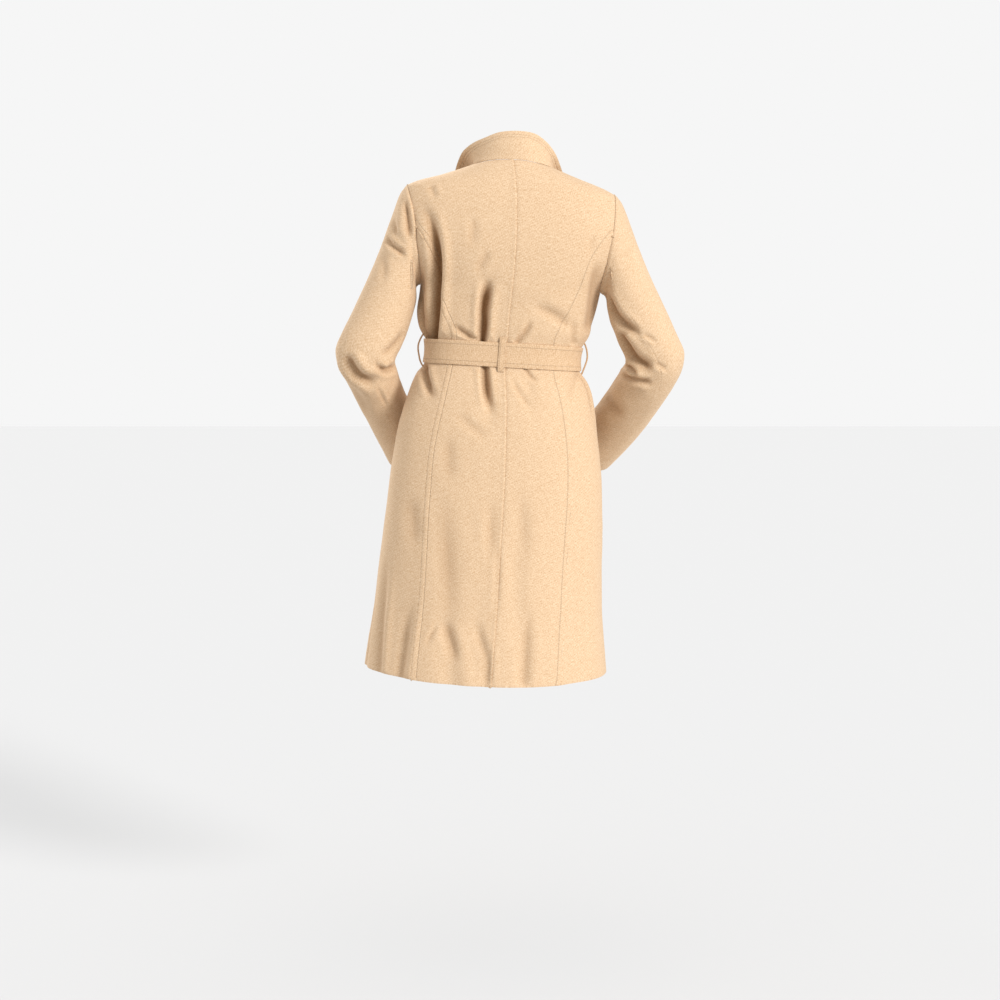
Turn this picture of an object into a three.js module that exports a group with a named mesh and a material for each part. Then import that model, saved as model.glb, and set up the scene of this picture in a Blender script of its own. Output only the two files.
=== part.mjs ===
import * as THREE from 'three';

// A belted, knee-length coat of felted wool, held in the shape it has when worn with both hands in front
// of the hips. Millimetres, +Z up. The front faces -Y and the wearer's left is +X. The origin lies
// between the shoulders, at the base of the neck. Angles run round the body: 0 at the centre back, 90 at
// the wearer's left side, 180 in front.

// ---- driving dimensions ----

const clothWall = 2.4;          // thickness of one layer of the wool
const seamGap = 0.3;            // space left between two pieces at a seam
const neckLevel = -1;           // height of the neck seam at the centre back
const shoulderLevel = -56;      // height of the armhole's top, before the lean of the shoulders
const armpitLevel = -247;       // height of the armhole's bottom
const hemLevel = -1000;         // height of the hem at the centre back
const beltTop = -351;           // upper edge of the belt at the centre back
const beltBottom = -398;        // lower edge of the belt at the centre back
const beltWall = 3.4;           // two layers of the wool, pressed flat
const beltClearance = 0.5;      // space between the coat and its belt
const wrapUnderlap = 3.1;       // how far the left front lies under the right one
const wrapSlope = 34;           // width over which the left front sinks to that depth
const wrapMargin = 26;          // how far outside the right front's edge it has done so
const collarEndLevel = -136.6;  // height where the collar ends on the front neckline
const collarRoll = 3;           // how far the collar bows outwards at the centre back, between seam and rim
const collarLift = -7;          // how far it bows off the fronts, where it lies open

// Levels of the body: height at the centre back, centre line, half widths to the wearer's left and right,
// depths to the back and the front, roundness of the section, sideways lean and the lift of the sides
// over the centre back.
const bodySections = [
  { level: -1, mid: -16, left: 76, right: 75, back: 52, front: 40, round: 2.0, tilt: 0.048, lift: -9 },
  { level: -28, mid: -19, left: 141, right: 132, back: 72, front: 54, round: 2.04, tilt: 0.048, lift: -4.5 },
  { level: -56, mid: -21, left: 210, right: 191, back: 86, front: 68, round: 2.12, tilt: 0.048, lift: 0 },
  { level: -70, mid: -22, left: 218.5, right: 200, back: 91, front: 74, round: 2.16, tilt: 0.048, lift: 0 },
  { level: -90, mid: -22, left: 228, right: 212, back: 97, front: 82, round: 2.2, tilt: 0.048, lift: 0 },
  { level: -125, mid: -22, left: 231, right: 219, back: 104, front: 94, round: 2.28, tilt: 0.048, lift: 0 },
  { level: -165, mid: -21, left: 226, right: 211, back: 107, front: 107, round: 2.3, tilt: 0.048, lift: 0 },
  { level: -205, mid: -18, left: 203, right: 194, back: 106, front: 116, round: 2.3, tilt: 0.048, lift: 0 },
  { level: -247, mid: -14, left: 179, right: 171, back: 101, front: 118, round: 2.3, tilt: 0.05, lift: 0 },
  { level: -291, mid: -9, left: 180, right: 166, back: 93, front: 110, round: 2.3, tilt: 0.055, lift: 0 },
  { level: -335, mid: -5, left: 170, right: 156, back: 86, front: 101, round: 2.3, tilt: 0.058, lift: 0 },
  { level: -347, mid: -4, left: 160, right: 147, back: 82.5, front: 97, round: 2.28, tilt: 0.059, lift: 0 },
  { level: -374, mid: -2, left: 155, right: 141, back: 81, front: 95, round: 2.26, tilt: 0.06, lift: 0 },
  { level: -401, mid: 0, left: 158, right: 146, back: 83.5, front: 97.5, round: 2.25, tilt: 0.059, lift: 0 },
  { level: -414, mid: 0, left: 170, right: 158, back: 92, front: 105, round: 2.24, tilt: 0.058, lift: 0 },
  { level: -431, mid: -1, left: 180, right: 166, back: 99, front: 110, round: 2.22, tilt: 0.057, lift: 0 },
  { level: -470, mid: -3, left: 196, right: 173, back: 112, front: 118, round: 2.2, tilt: 0.056, lift: 1 },
  { level: -509, mid: -2, left: 207, right: 177, back: 121, front: 124, round: 2.2, tilt: 0.054, lift: 2 },
  { level: -603, mid: 0, left: 222, right: 189, back: 134, front: 133, round: 2.2, tilt: 0.05, lift: 5 },
  { level: -727, mid: 8, left: 230, right: 199, back: 144, front: 143, round: 2.16, tilt: 0.046, lift: 7 },
  { level: -852, mid: 15, left: 238, right: 204, back: 156, front: 154, round: 2.12, tilt: 0.042, lift: 10 },
  { level: hemLevel, mid: 27, left: 248, right: 226, back: 170, front: 168, round: 2.1, tilt: 0.034,
    lift: 12 },
];

// Where the panels end at each level, as distances from the centre line: the armholes above the armpit,
// the back princess seams below it, and the front edge, which passes the centre line below the crossing
// of the fronts.
const armholeEdges = [
  { level: -56, left: 210, right: 191 },
  { level: -100, left: 200, right: 189.5 },
  { level: -136.6, left: 196, right: 185 },
  { level: -170, left: 191, right: 179 },
  { level: -205, left: 183, right: 174.5 },
  { level: -230, left: 180, right: 172 },
  { level: -247, left: 179, right: 171 },
];
const princessSeams = [
  { level: -136.6, left: 196, right: 185 },
  { level: -157, left: 176, right: 168 },
  { level: -190, left: 159, right: 150 },
  { level: -250, left: 143, right: 133 },
  { level: -298, left: 126, right: 117 },
  { level: -345, left: 106, right: 98 },
  { level: -404, left: 111, right: 102 },
  { level: -436, left: 119, right: 109 },
  { level: -483, left: 131, right: 117 },
  { level: -610, left: 150, right: 130 },
  { level: -788, left: 148, right: 129 },
  { level: hemLevel, left: 152, right: 133 },
];
const frontEdges = [
  { level: 5, reach: 74 },
  { level: -25, reach: 77 },
  { level: -56, reach: 70 },
  { level: -100, reach: 55 },
  { level: -150, reach: 37 },
  { level: -200, reach: 16 },
  { level: -250, reach: -8 },
  { level: -300, reach: -33 },
  { level: -340, reach: -52 },
  { level: -400, reach: -68 },
  { level: -500, reach: -74 },
  { level: hemLevel, reach: -76 },
];

// Rows of each panel. The armhole's rows lie on a circle of the armhole, so that body and sleeve meet
// point by point.
const shoulderRows = [-1, -10, -20, -32, -44];
const armholeAngles = [0, 20, 40, 60, 81, 98, 115, 137, 158.5, 180];
const bodyRows = [-262, -280, -300, -318, -333, -343];
const beltRows = [beltTop, -374.5, beltBottom];
const hipRows = [-405, -413, -430, -452, -480];
const skirtRows = [-520, -575, -640, -710, -780, -850, -905, -955, hemLevel];
const backColumns = 11;
const sideColumns = 5;
const frontColumns = 8;
const princessTopRow = 4;       // the armhole row where the princess seams start
const sidePanelTip = 3.4;       // how far below that row the tip of a side panel begins

// Soft troughs in the body. Each runs from one end to the other, seen straight from its side of the coat,
// and bows sideways in between. It is as wide as it says on both sides of its line.
const bodyFolds = [
  { face: 'back', x1: 168, z1: -62, x2: 146, z2: -352, bow: -27, depth: 8, width: 13 },
  { face: 'back', x1: 27, z1: -200, x2: 50, z2: -356, bow: 1, depth: 6, width: 11 },
  { face: 'back', x1: 47, z1: -390, x2: 24, z2: -510, bow: 2, depth: 6, width: 11 },
  { face: 'back', x1: -40, z1: -276, x2: -146, z2: -322, bow: 0, depth: 4, width: 12 },
  { face: 'back', x1: -184, z1: -180, x2: -163, z2: -338, bow: 4, depth: 5, width: 13 },
  { face: 'back', x1: 163, z1: -388, x2: 134, z2: -470, bow: 0, depth: 5, width: 11 },
  { face: 'back', x1: -36, z1: -392, x2: -52, z2: -490, bow: 0, depth: 4, width: 10 },
  { face: 'back', x1: -110, z1: -392, x2: -132, z2: -480, bow: 0, depth: 4, width: 12 },
  { face: 'back', x1: 196, z1: -820, x2: 207, z2: -1060, bow: 0, depth: 10, width: 15 },
  { face: 'back', x1: 120, z1: -840, x2: 97, z2: -1060, bow: 0, depth: 9, width: 17 },
  { face: 'back', x1: 62, z1: -840, x2: 36, z2: -1060, bow: 0, depth: 8, width: 15 },
  { face: 'back', x1: -26, z1: -620, x2: -37, z2: -1060, bow: -9, depth: 5, width: 13 },
  { face: 'back', x1: -130, z1: -830, x2: -142, z2: -1060, bow: 0, depth: 7, width: 16 },
  { face: 'front', x1: 150, z1: -388, x2: 128, z2: -480, bow: 0, depth: 5, width: 12 },
  { face: 'front', x1: 92, z1: -388, x2: 100, z2: -500, bow: 0, depth: 5, width: 12 },
  { face: 'front', x1: -96, z1: -388, x2: -112, z2: -490, bow: 0, depth: 5, width: 12 },
  { face: 'front', x1: 104, z1: -262, x2: 84, z2: -362, bow: 3, depth: 5, width: 12 },
  { face: 'front', x1: -112, z1: -256, x2: -90, z2: -362, bow: -3, depth: 5, width: 12 },
  { face: 'front', x1: 206, z1: -780, x2: 222, z2: -1060, bow: 0, depth: 9, width: 17 },
  { face: 'front', x1: 152, z1: -830, x2: 162, z2: -1060, bow: 0, depth: 7, width: 15 },
  { face: 'front', x1: -128, z1: -800, x2: -132, z2: -1060, bow: 0, depth: 8, width: 17 },
];

// Rings of the sleeves, from the shoulder to the cuff: the outer and inner end of each ring seen from
// behind, its middle from front to back, its half depth, and the turn of its back seam from the outer
// end.
const leftSleeveRings = [
  { outerX: 189, outerZ: -46, innerX: 165, innerZ: -237, midY: 0, depth: 64, seam: 115 },
  { outerX: 203, outerZ: -55, innerX: 171, innerZ: -242, midY: 0, depth: 65, seam: 115 },
  { outerX: 214, outerZ: -83, innerX: 172, innerZ: -250, midY: 1, depth: 65, seam: 118 },
  { outerX: 226, outerZ: -119, innerX: 171, innerZ: -260, midY: 2, depth: 64, seam: 123 },
  { outerX: 240, outerZ: -160, innerX: 171, innerZ: -272, midY: 4, depth: 63, seam: 131 },
  { outerX: 257, outerZ: -203, innerX: 176, innerZ: -292, midY: 8, depth: 62, seam: 141 },
  { outerX: 274, outerZ: -241, innerX: 182, innerZ: -311, midY: 12, depth: 60, seam: 151 },
  { outerX: 291, outerZ: -279, innerX: 188, innerZ: -330, midY: 16, depth: 58, seam: 158 },
  { outerX: 308, outerZ: -312, innerX: 195, innerZ: -349, midY: 19, depth: 57, seam: 160 },
  { outerX: 322, outerZ: -340, innerX: 203, innerZ: -366, midY: 20, depth: 57, seam: 156 },
  { outerX: 330, outerZ: -362, innerX: 212, innerZ: -380, midY: 17, depth: 58, seam: 145 },
  { outerX: 328, outerZ: -384, innerX: 213, innerZ: -393, midY: 7, depth: 58, seam: 126 },
  { outerX: 316, outerZ: -408, innerX: 209, innerZ: -410, midY: -13, depth: 56, seam: 107 },
  { outerX: 303, outerZ: -437, innerX: 204, innerZ: -432, midY: -42, depth: 54, seam: 101 },
  { outerX: 290, outerZ: -472, innerX: 196, innerZ: -457, midY: -77, depth: 52, seam: 102 },
  { outerX: 274, outerZ: -507, innerX: 180, innerZ: -484, midY: -110, depth: 50, seam: 100 },
  { outerX: 256, outerZ: -549, innerX: 159, innerZ: -516, midY: -143, depth: 48, seam: 97 },
  { outerX: 236, outerZ: -593, innerX: 136, innerZ: -549, midY: -175, depth: 47, seam: 95 },
];
const rightSleeveRings = [
  { outerX: -212, outerZ: -65, innerX: -185, innerZ: -256, midY: 0, depth: 64, seam: 115 },
  { outerX: -225, outerZ: -74, innerX: -193, innerZ: -261, midY: 0, depth: 65, seam: 115 },
  { outerX: -235, outerZ: -99, innerX: -196, innerZ: -268, midY: 1, depth: 65, seam: 115 },
  { outerX: -246, outerZ: -130, innerX: -197, innerZ: -277, midY: 2, depth: 64, seam: 115 },
  { outerX: -259, outerZ: -165, innerX: -198, innerZ: -288, midY: 4, depth: 63, seam: 114 },
  { outerX: -274, outerZ: -203, innerX: -200, innerZ: -301, midY: 8, depth: 62, seam: 111 },
  { outerX: -291, outerZ: -240, innerX: -204, innerZ: -317, midY: 12, depth: 60, seam: 108 },
  { outerX: -308, outerZ: -278, innerX: -212, innerZ: -334, midY: 16, depth: 58, seam: 104 },
  { outerX: -325, outerZ: -315, innerX: -217, innerZ: -352, midY: 19, depth: 57, seam: 100 },
  { outerX: -339, outerZ: -346, innerX: -227, innerZ: -370, midY: 20, depth: 57, seam: 95 },
  { outerX: -349, outerZ: -370, innerX: -234, innerZ: -386, midY: 17, depth: 58, seam: 88 },
  { outerX: -347, outerZ: -393, innerX: -231, innerZ: -401, midY: 8, depth: 58, seam: 80 },
  { outerX: -335, outerZ: -418, innerX: -222, innerZ: -417, midY: -8, depth: 56, seam: 74 },
  { outerX: -321, outerZ: -447, innerX: -210, innerZ: -438, midY: -34, depth: 54, seam: 68 },
  { outerX: -303, outerZ: -480, innerX: -194, innerZ: -462, midY: -65, depth: 52, seam: 64 },
  { outerX: -282, outerZ: -515, innerX: -175, innerZ: -488, midY: -97, depth: 50, seam: 61 },
  { outerX: -254, outerZ: -555, innerX: -153, innerZ: -519, midY: -130, depth: 48, seam: 59 },
  { outerX: -215, outerZ: -597, innerX: -120, innerZ: -553, midY: -163, depth: 47, seam: 58 },
];
const sleeveRows = [0, 1, 2, 3, 4, 5, 6, 7, 8, 8.6, 9.2, 9.8, 10.4, 11, 11.6, 12.2, 13, 14.3, 15.6, 17];
const sleeveSeamAngle = 115;    // where the sleeve's back seam leaves the armhole
const underSleeveSpan = 130;    // part of the turn that the under sleeve takes

// Creases of the sleeves: ring and turn of their middle, slant in rings per 90 degrees, half length,
// depth, width.
const leftSleeveFolds = [
  { ring: 11, turn: 118, slant: 0.4, span: 60, depth: 6, width: 0.5 },
  { ring: 12.3, turn: 60, slant: 1.6, span: 50, depth: 4, width: 0.5 },
  { ring: 11, turn: 262, slant: 0.3, span: 50, depth: 5, width: 0.7 },
  { ring: 2.4, turn: 40, slant: 1.4, span: 60, depth: 4, width: 0.7 },
];
const rightSleeveFolds = [
  { ring: 9.4, turn: 120, slant: -1.2, span: 55, depth: 7, width: 0.5 },
  { ring: 10.9, turn: 110, slant: -1.2, span: 55, depth: 7, width: 0.5 },
  { ring: 12.1, turn: 130, slant: -0.4, span: 55, depth: 5, width: 0.5 },
  { ring: 11, turn: 258, slant: 0.3, span: 50, depth: 5, width: 0.7 },
];

// The rim of the collar, from the centre back to its front end on each side: distance from the centre
// line, place from front to back, and height.
const collarRimLeft = [
  { out: 0, y: 40, z: 54.5 },
  { out: 28, y: 36, z: 52 },
  { out: 50, y: 26, z: 44 },
  { out: 76, y: 7, z: 34.5 },
  { out: 97, y: -18, z: 18.5 },
  { out: 107, y: -42, z: -0.5 },
  { out: 113, y: -62, z: -21 },
  { out: 118, y: -82, z: -47 },
  { out: 114, y: -100, z: -79 },
  { out: 101, y: -116, z: -115 },
  { out: 86, y: -126, z: -146 },
];
const collarRimRight = [
  { out: 0, y: 40, z: 54.5 },
  { out: 26, y: 37, z: 53.5 },
  { out: 46, y: 28, z: 49.5 },
  { out: 69, y: 8, z: 33.5 },
  { out: 86, y: -16, z: 11.5 },
  { out: 95, y: -40, z: -8 },
  { out: 102, y: -60, z: -29 },
  { out: 108, y: -80, z: -52 },
  { out: 105, y: -98, z: -86 },
  { out: 93, y: -114, z: -121 },
  { out: 79, y: -124, z: -152 },
];
const collarRimCentre = -14;

// ---- helpers ----

const radians = (degrees) => THREE.MathUtils.degToRad(degrees);
const degrees = (angle) => THREE.MathUtils.radToDeg(angle);

function ease(value) {
  const share = THREE.MathUtils.clamp(value, 0, 1);
  return share * share * (3 - 2 * share);
}

// A column of a table at any place between its rows, on a smooth curve that doesn't overshoot them.
function columnAt(rows, key, column, place) {
  const falling = rows[0][key] > rows[rows.length - 1][key];
  const last = rows.length - 1;
  let row = 0;
  while (row < last - 1 && (falling ? rows[row + 1][key] > place : rows[row + 1][key] < place)) {
    row += 1;
  }
  const slopeBetween = (from) => (rows[from + 1][column] - rows[from][column])
    / (rows[from + 1][key] - rows[from][key]);
  const slopeAt = (at) => {
    if (at === 0) return slopeBetween(0);
    if (at === last) return slopeBetween(last - 1);
    const before = slopeBetween(at - 1);
    const after = slopeBetween(at);
    return before * after <= 0 ? 0 : (2 * before * after) / (before + after);
  };
  const length = rows[row + 1][key] - rows[row][key];
  const share = THREE.MathUtils.clamp((place - rows[row][key]) / length, 0, 1);
  const rest = 1 - share;
  return rows[row][column] * (1 + 2 * share) * rest * rest
    + rows[row + 1][column] * share * share * (3 - 2 * share)
    + length * slopeAt(row) * share * rest * rest
    - length * slopeAt(row + 1) * share * share * rest;
}

function rowAt(rows, key, place) {
  const result = {};
  for (const column of Object.keys(rows[0])) {
    result[column] = column === key ? place : columnAt(rows, key, column, place);
  }
  return result;
}

const sectionCache = new Map();

function sectionAt(level) {
  if (!sectionCache.has(level)) {
    sectionCache.set(level, rowAt(bodySections, 'level', level));
  }
  return sectionCache.get(level);
}

// ---- the body's surface ----

function smoothBodyPoint(angle, level) {
  const section = sectionAt(level);
  const sine = Math.sin(radians(angle));
  const cosine = Math.cos(radians(angle));
  const half = sine >= 0 ? section.left : section.right;
  const depth = cosine >= 0 ? section.back : section.front;
  const reach = 2 / section.round;
  const out = half * Math.sign(sine) * Math.abs(sine) ** reach;
  const y = depth * Math.sign(cosine) * Math.abs(cosine) ** reach;
  const lift = cosine > 0 ? sine * sine : 1;
  const z = level + section.tilt * out + section.lift * lift;
  return new THREE.Vector3(section.mid + out, y, z);
}

function normalOf(surface, angle, level) {
  const angleStep = 0.4;
  const levelStep = 1;
  const round = surface(angle + angleStep, level).sub(surface(angle - angleStep, level));
  const top = Math.min(level + levelStep, neckLevel);
  const up = surface(angle, top).sub(surface(angle, level - levelStep));
  return up.cross(round).normalize();
}

function foldDepth(point) {
  const face = point.y >= 0 ? 'back' : 'front';
  let depth = 0;
  for (const fold of bodyFolds) {
    if (fold.face !== face) continue;
    const run = new THREE.Vector2(fold.x2 - fold.x1, fold.z2 - fold.z1);
    const length = run.length();
    const from = new THREE.Vector2(point.x - fold.x1, point.z - fold.z1);
    const share = from.dot(run) / (length * length);
    if (share <= 0 || share >= 1) continue;
    const bow = 4 * fold.bow * share * (1 - share);
    const across = from.cross(run) / length - bow * Math.sign(fold.z1 - fold.z2);
    const fade = ease(share / 0.3) * ease((1 - share) / 0.2);
    depth += fold.depth * fade * Math.exp(-((across / fold.width) ** 2));
  }
  return depth * ease(Math.abs(point.y) / 20);
}

// The folds end where the belt presses the cloth flat.
function besideBelt(level) {
  const middle = (beltTop + beltBottom) / 2;
  const half = (beltTop - beltBottom) / 2;
  return ease((Math.abs(level - middle) - half) / 22);
}

function bodyPoint(angle, level) {
  const point = smoothBodyPoint(angle, level);
  const depth = foldDepth(point) * besideBelt(level);
  if (depth > 0.01) {
    point.addScaledVector(normalOf(smoothBodyPoint, angle, level), -depth);
  }
  return point;
}

// The angle at a distance from the centre line, behind or in front. In front, a distance below zero is
// past the centre line, on the other side.
function backAngle(level, side, out) {
  const section = sectionAt(level);
  const half = side > 0 ? section.left : section.right;
  return side * degrees(Math.asin(Math.min(1, out / half) ** (section.round / 2)));
}

function frontAngle(level, side, out) {
  const section = sectionAt(level);
  const ownSide = out >= 0 ? side : -side;
  const half = ownSide > 0 ? section.left : section.right;
  const turn = degrees(Math.asin(Math.min(1, Math.abs(out) / half) ** (section.round / 2)));
  return side * (out >= 0 ? 180 - turn : 180 + turn);
}

// The side seam, moved a little to the back or to the front.
function sideAngle(level, side, y) {
  const section = sectionAt(level);
  const depth = y > 0 ? section.back : section.front;
  const turn = degrees(Math.acos((Math.abs(y) / depth) ** (section.round / 2)));
  return side * (y > 0 ? turn : 180 - turn);
}

const sideKey = (side) => (side > 0 ? 'left' : 'right');
const armholeOut = (level, side) => columnAt(armholeEdges, 'level', sideKey(side), level);
const princessOut = (level, side) => columnAt(princessSeams, 'level', sideKey(side), level);
const frontReach = (level) => columnAt(frontEdges, 'level', 'reach', level);

const armholeMiddle = (shoulderLevel + armpitLevel) / 2;
const armholeHalf = (shoulderLevel - armpitLevel) / 2;
const armholeLevel = (turn) => armholeMiddle + armholeHalf * Math.cos(radians(turn));
const armholeRows = armholeAngles.map(armholeLevel);
const princessTop = armholeRows[princessTopRow];
const lowerRows = armholeRows.slice(princessTopRow + 1);
const tipRow = princessTop - sidePanelTip;
const sideRows = [tipRow, ...lowerRows, ...bodyRows, ...beltRows, ...hipRows, ...skirtRows];
const wholeRows = [...shoulderRows, ...armholeRows.slice(0, princessTopRow + 1), ...sideRows];

// ---- closed solids from an outer and an inner grid of points ----

function shell(outer, inner) {
  const rows = outer.length;
  const columns = outer[0].length;
  const foot = rows - 1;
  const right = columns - 1;
  const positions = [];
  for (const grid of [outer, inner]) {
    for (const row of grid) {
      for (const point of row) positions.push(point.x, point.y, point.z);
    }
  }
  const out = (row, column) => row * columns + column;
  const under = (row, column) => rows * columns + row * columns + column;
  const index = [];
  const quad = (a, b, c, d) => index.push(a, b, c, a, c, d);
  for (let row = 0; row < foot; row += 1) {
    for (let column = 0; column < right; column += 1) {
      quad(out(row, column), out(row + 1, column), out(row + 1, column + 1), out(row, column + 1));
      quad(under(row, column), under(row, column + 1), under(row + 1, column + 1), under(row + 1, column));
    }
    quad(out(row, 0), under(row, 0), under(row + 1, 0), out(row + 1, 0));
    quad(out(row, right), out(row + 1, right), under(row + 1, right), under(row, right));
  }
  for (let column = 0; column < right; column += 1) {
    quad(out(0, column), out(0, column + 1), under(0, column + 1), under(0, column));
    quad(out(foot, column), under(foot, column), under(foot, column + 1), out(foot, column + 1));
  }
  const geometry = new THREE.BufferGeometry();
  geometry.setAttribute('position', new THREE.Float32BufferAttribute(positions, 3));
  geometry.setIndex(volumeOf(positions, index) > 0 ? index : index.reverse());
  geometry.computeVertexNormals();
  return geometry;
}

function volumeOf(positions, index) {
  const corner = (at) => new THREE.Vector3().fromArray(positions, index[at] * 3);
  let volume = 0;
  for (let at = 0; at < index.length; at += 3) {
    volume += corner(at).dot(corner(at + 1).cross(corner(at + 2))) / 6;
  }
  return volume;
}

const woolColour = 0xd9b383;
const threadColour = 0xc9a06c;

function piece(name, geometry, colour = woolColour) {
  const material = new THREE.MeshStandardMaterial({ color: colour, roughness: 0.95, metalness: 0 });
  const mesh = new THREE.Mesh(geometry, material);
  mesh.name = name;
  return mesh;
}

// ---- the panels ----

// How far the left front sinks under the right one.
function underlap(point, level) {
  const rightEdge = -frontReach(level);
  const out = point.x - sectionAt(level).mid;
  return wrapUnderlap * ease((rightEdge + wrapSlope + wrapMargin - out) / wrapSlope);
}

function panel(name, rows, columns, startAngle, endAngle, sink = null) {
  const outer = [];
  const inner = [];
  for (const level of rows) {
    const start = startAngle(level);
    const end = endAngle(level);
    const outerRow = [];
    const innerRow = [];
    for (let column = 0; column <= columns; column += 1) {
      const angle = THREE.MathUtils.lerp(start, end, column / columns);
      const point = bodyPoint(angle, level);
      const normal = normalOf(bodyPoint, angle, level);
      if (sink) point.addScaledVector(normal, -sink(point, level));
      outerRow.push(point);
      innerRow.push(point.clone().addScaledVector(normal, -clothWall));
    }
    outer.push(outerRow);
    inner.push(innerRow);
  }
  return piece(name, shell(outer, inner));
}

const halfGap = seamGap / 2;

function backPanel(side) {
  const start = (level) => backAngle(level, side, halfGap);
  const end = (level) => {
    if (level > shoulderLevel) return sideAngle(level, side, halfGap);
    if (level >= princessTop) return backAngle(level, side, armholeOut(level, side) - halfGap);
    return backAngle(level, side, princessOut(level, side) - halfGap);
  };
  return panel(`back_${sideKey(side)}`, wholeRows, backColumns, start, end);
}

function sideBackPanel(side) {
  const start = (level) => backAngle(level, side, princessOut(level, side) + halfGap);
  const end = (level) => (level > armpitLevel
    ? backAngle(level, side, armholeOut(level, side) - halfGap)
    : sideAngle(level, side, halfGap));
  return panel(`side_back_${sideKey(side)}`, sideRows, sideColumns, start, end);
}

function sideFrontPanel(side) {
  const start = (level) => (level > armpitLevel
    ? frontAngle(level, side, armholeOut(level, side) - halfGap)
    : sideAngle(level, side, -halfGap));
  const end = (level) => frontAngle(level, side, princessOut(level, side) + halfGap);
  return panel(`side_front_${sideKey(side)}`, sideRows, sideColumns, start, end);
}

function frontPanel(side) {
  const start = (level) => {
    if (level > shoulderLevel) return sideAngle(level, side, -halfGap);
    if (level >= princessTop) return frontAngle(level, side, armholeOut(level, side) - halfGap);
    return frontAngle(level, side, princessOut(level, side) - halfGap);
  };
  const end = (level) => frontAngle(level, side, frontReach(level));
  return panel(`front_${sideKey(side)}`, wholeRows, frontColumns, start, end, side > 0 ? underlap : null);
}

// ---- the sleeves ----

function sleeveFoldDepth(folds, ring, turn) {
  let depth = 0;
  for (const fold of folds) {
    const away = THREE.MathUtils.euclideanModulo(turn - fold.turn + 180, 360) - 180;
    const fade = ease(1.4 - Math.abs(away) / fold.span);
    const across = (ring - fold.ring - (fold.slant * away) / 90) / fold.width;
    depth += fold.depth * fade * Math.exp(-(across * across));
  }
  return depth;
}

function sleeveFrame(rings, ring) {
  const at = (place) => {
    const row = rowAt(rings, 'ring', THREE.MathUtils.clamp(place, 0, rings.length - 1));
    const outer = new THREE.Vector3(row.outerX, row.midY, row.outerZ);
    const inner = new THREE.Vector3(row.innerX, row.midY, row.innerZ);
    return { row, outer, middle: outer.clone().add(inner).multiplyScalar(0.5) };
  };
  const here = at(ring);
  const along = at(ring + 1.5).middle.sub(at(ring - 1.5).middle).normalize();
  const out = here.outer.clone().sub(here.middle);
  const back = out.clone().normalize().cross(along).normalize();
  if (back.y < 0 || (Math.abs(back.y) < 0.2 && back.z > 0)) back.negate();
  return { row: here.row, middle: here.middle, out, back };
}

function sleevePieces(side) {
  const table = side > 0 ? leftSleeveRings : rightSleeveRings;
  const rings = table.map((row, ring) => ({ ring, ...row }));
  const folds = side > 0 ? leftSleeveFolds : rightSleeveFolds;
  const turns = [...armholeAngles, ...armholeAngles.slice(1, -1).reverse().map((turn) => 360 - turn)];
  const armholePoint = (turn) => {
    const level = armholeLevel(turn);
    const out = armholeOut(level, side);
    const angle = turn <= 180 ? backAngle(level, side, out) : frontAngle(level, side, out);
    return { point: bodyPoint(angle, level), normal: normalOf(bodyPoint, angle, level) };
  };
  const middles = [];
  const grid = sleeveRows.map((ring) => {
    const frame = sleeveFrame(rings, ring);
    middles.push(frame.middle);
    return turns.map((turn) => {
      if (ring === 0) {
        const { point } = armholePoint(turn);
        return point.add(new THREE.Vector3(side * (seamGap + halfGap), 0, 0));
      }
      const twist = turn + frame.row.seam - sleeveSeamAngle;
      const depth = sleeveFoldDepth(folds, ring, twist);
      const shrink = 1 - depth / frame.row.depth;
      return frame.middle.clone()
        .addScaledVector(frame.out, Math.cos(radians(twist)) * shrink)
        .addScaledVector(frame.back, frame.row.depth * Math.sin(radians(twist)) * shrink);
    });
  });
  const count = turns.length;
  const last = grid.length - 1;
  const inner = grid.map((row, ringRow) => row.map((point, column) => {
    const down = grid[Math.min(ringRow + 1, last)][column].clone()
      .sub(grid[Math.max(ringRow - 1, 0)][column]);
    const round = row[(column + 1) % count].clone().sub(row[(column + count - 1) % count]);
    const normal = down.cross(round).normalize();
    if (normal.dot(point.clone().sub(middles[ringRow])) < 0) normal.negate();
    if (ringRow === 0) {
      const limit = side * armholePoint(turns[column]).normal.x;
      if (side * normal.x > limit) normal.setX(side * limit).normalize();
    }
    return point.clone().addScaledVector(normal, -clothWall);
  }));
  const backSeam = turns.indexOf(sleeveSeamAngle);
  const frontSeam = turns.indexOf(sleeveSeamAngle + underSleeveSpan);
  const slice = (from, steps) => [grid, inner].map((points) => points.map((row) => {
    const cut = [];
    for (let step = 0; step <= steps; step += 1) cut.push(row[(from + step) % count].clone());
    const pull = (edge, next) => edge.addScaledVector(next.clone().sub(edge).normalize(), halfGap);
    pull(cut[0], cut[1]);
    pull(cut[steps], cut[steps - 1]);
    return cut;
  }));
  const under = slice(backSeam, frontSeam - backSeam);
  const upper = slice(frontSeam, count - (frontSeam - backSeam));
  return [
    piece(`upper_sleeve_${sideKey(side)}`, shell(...upper)),
    piece(`under_sleeve_${sideKey(side)}`, shell(...under)),
  ];
}

// ---- the collar ----

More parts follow.
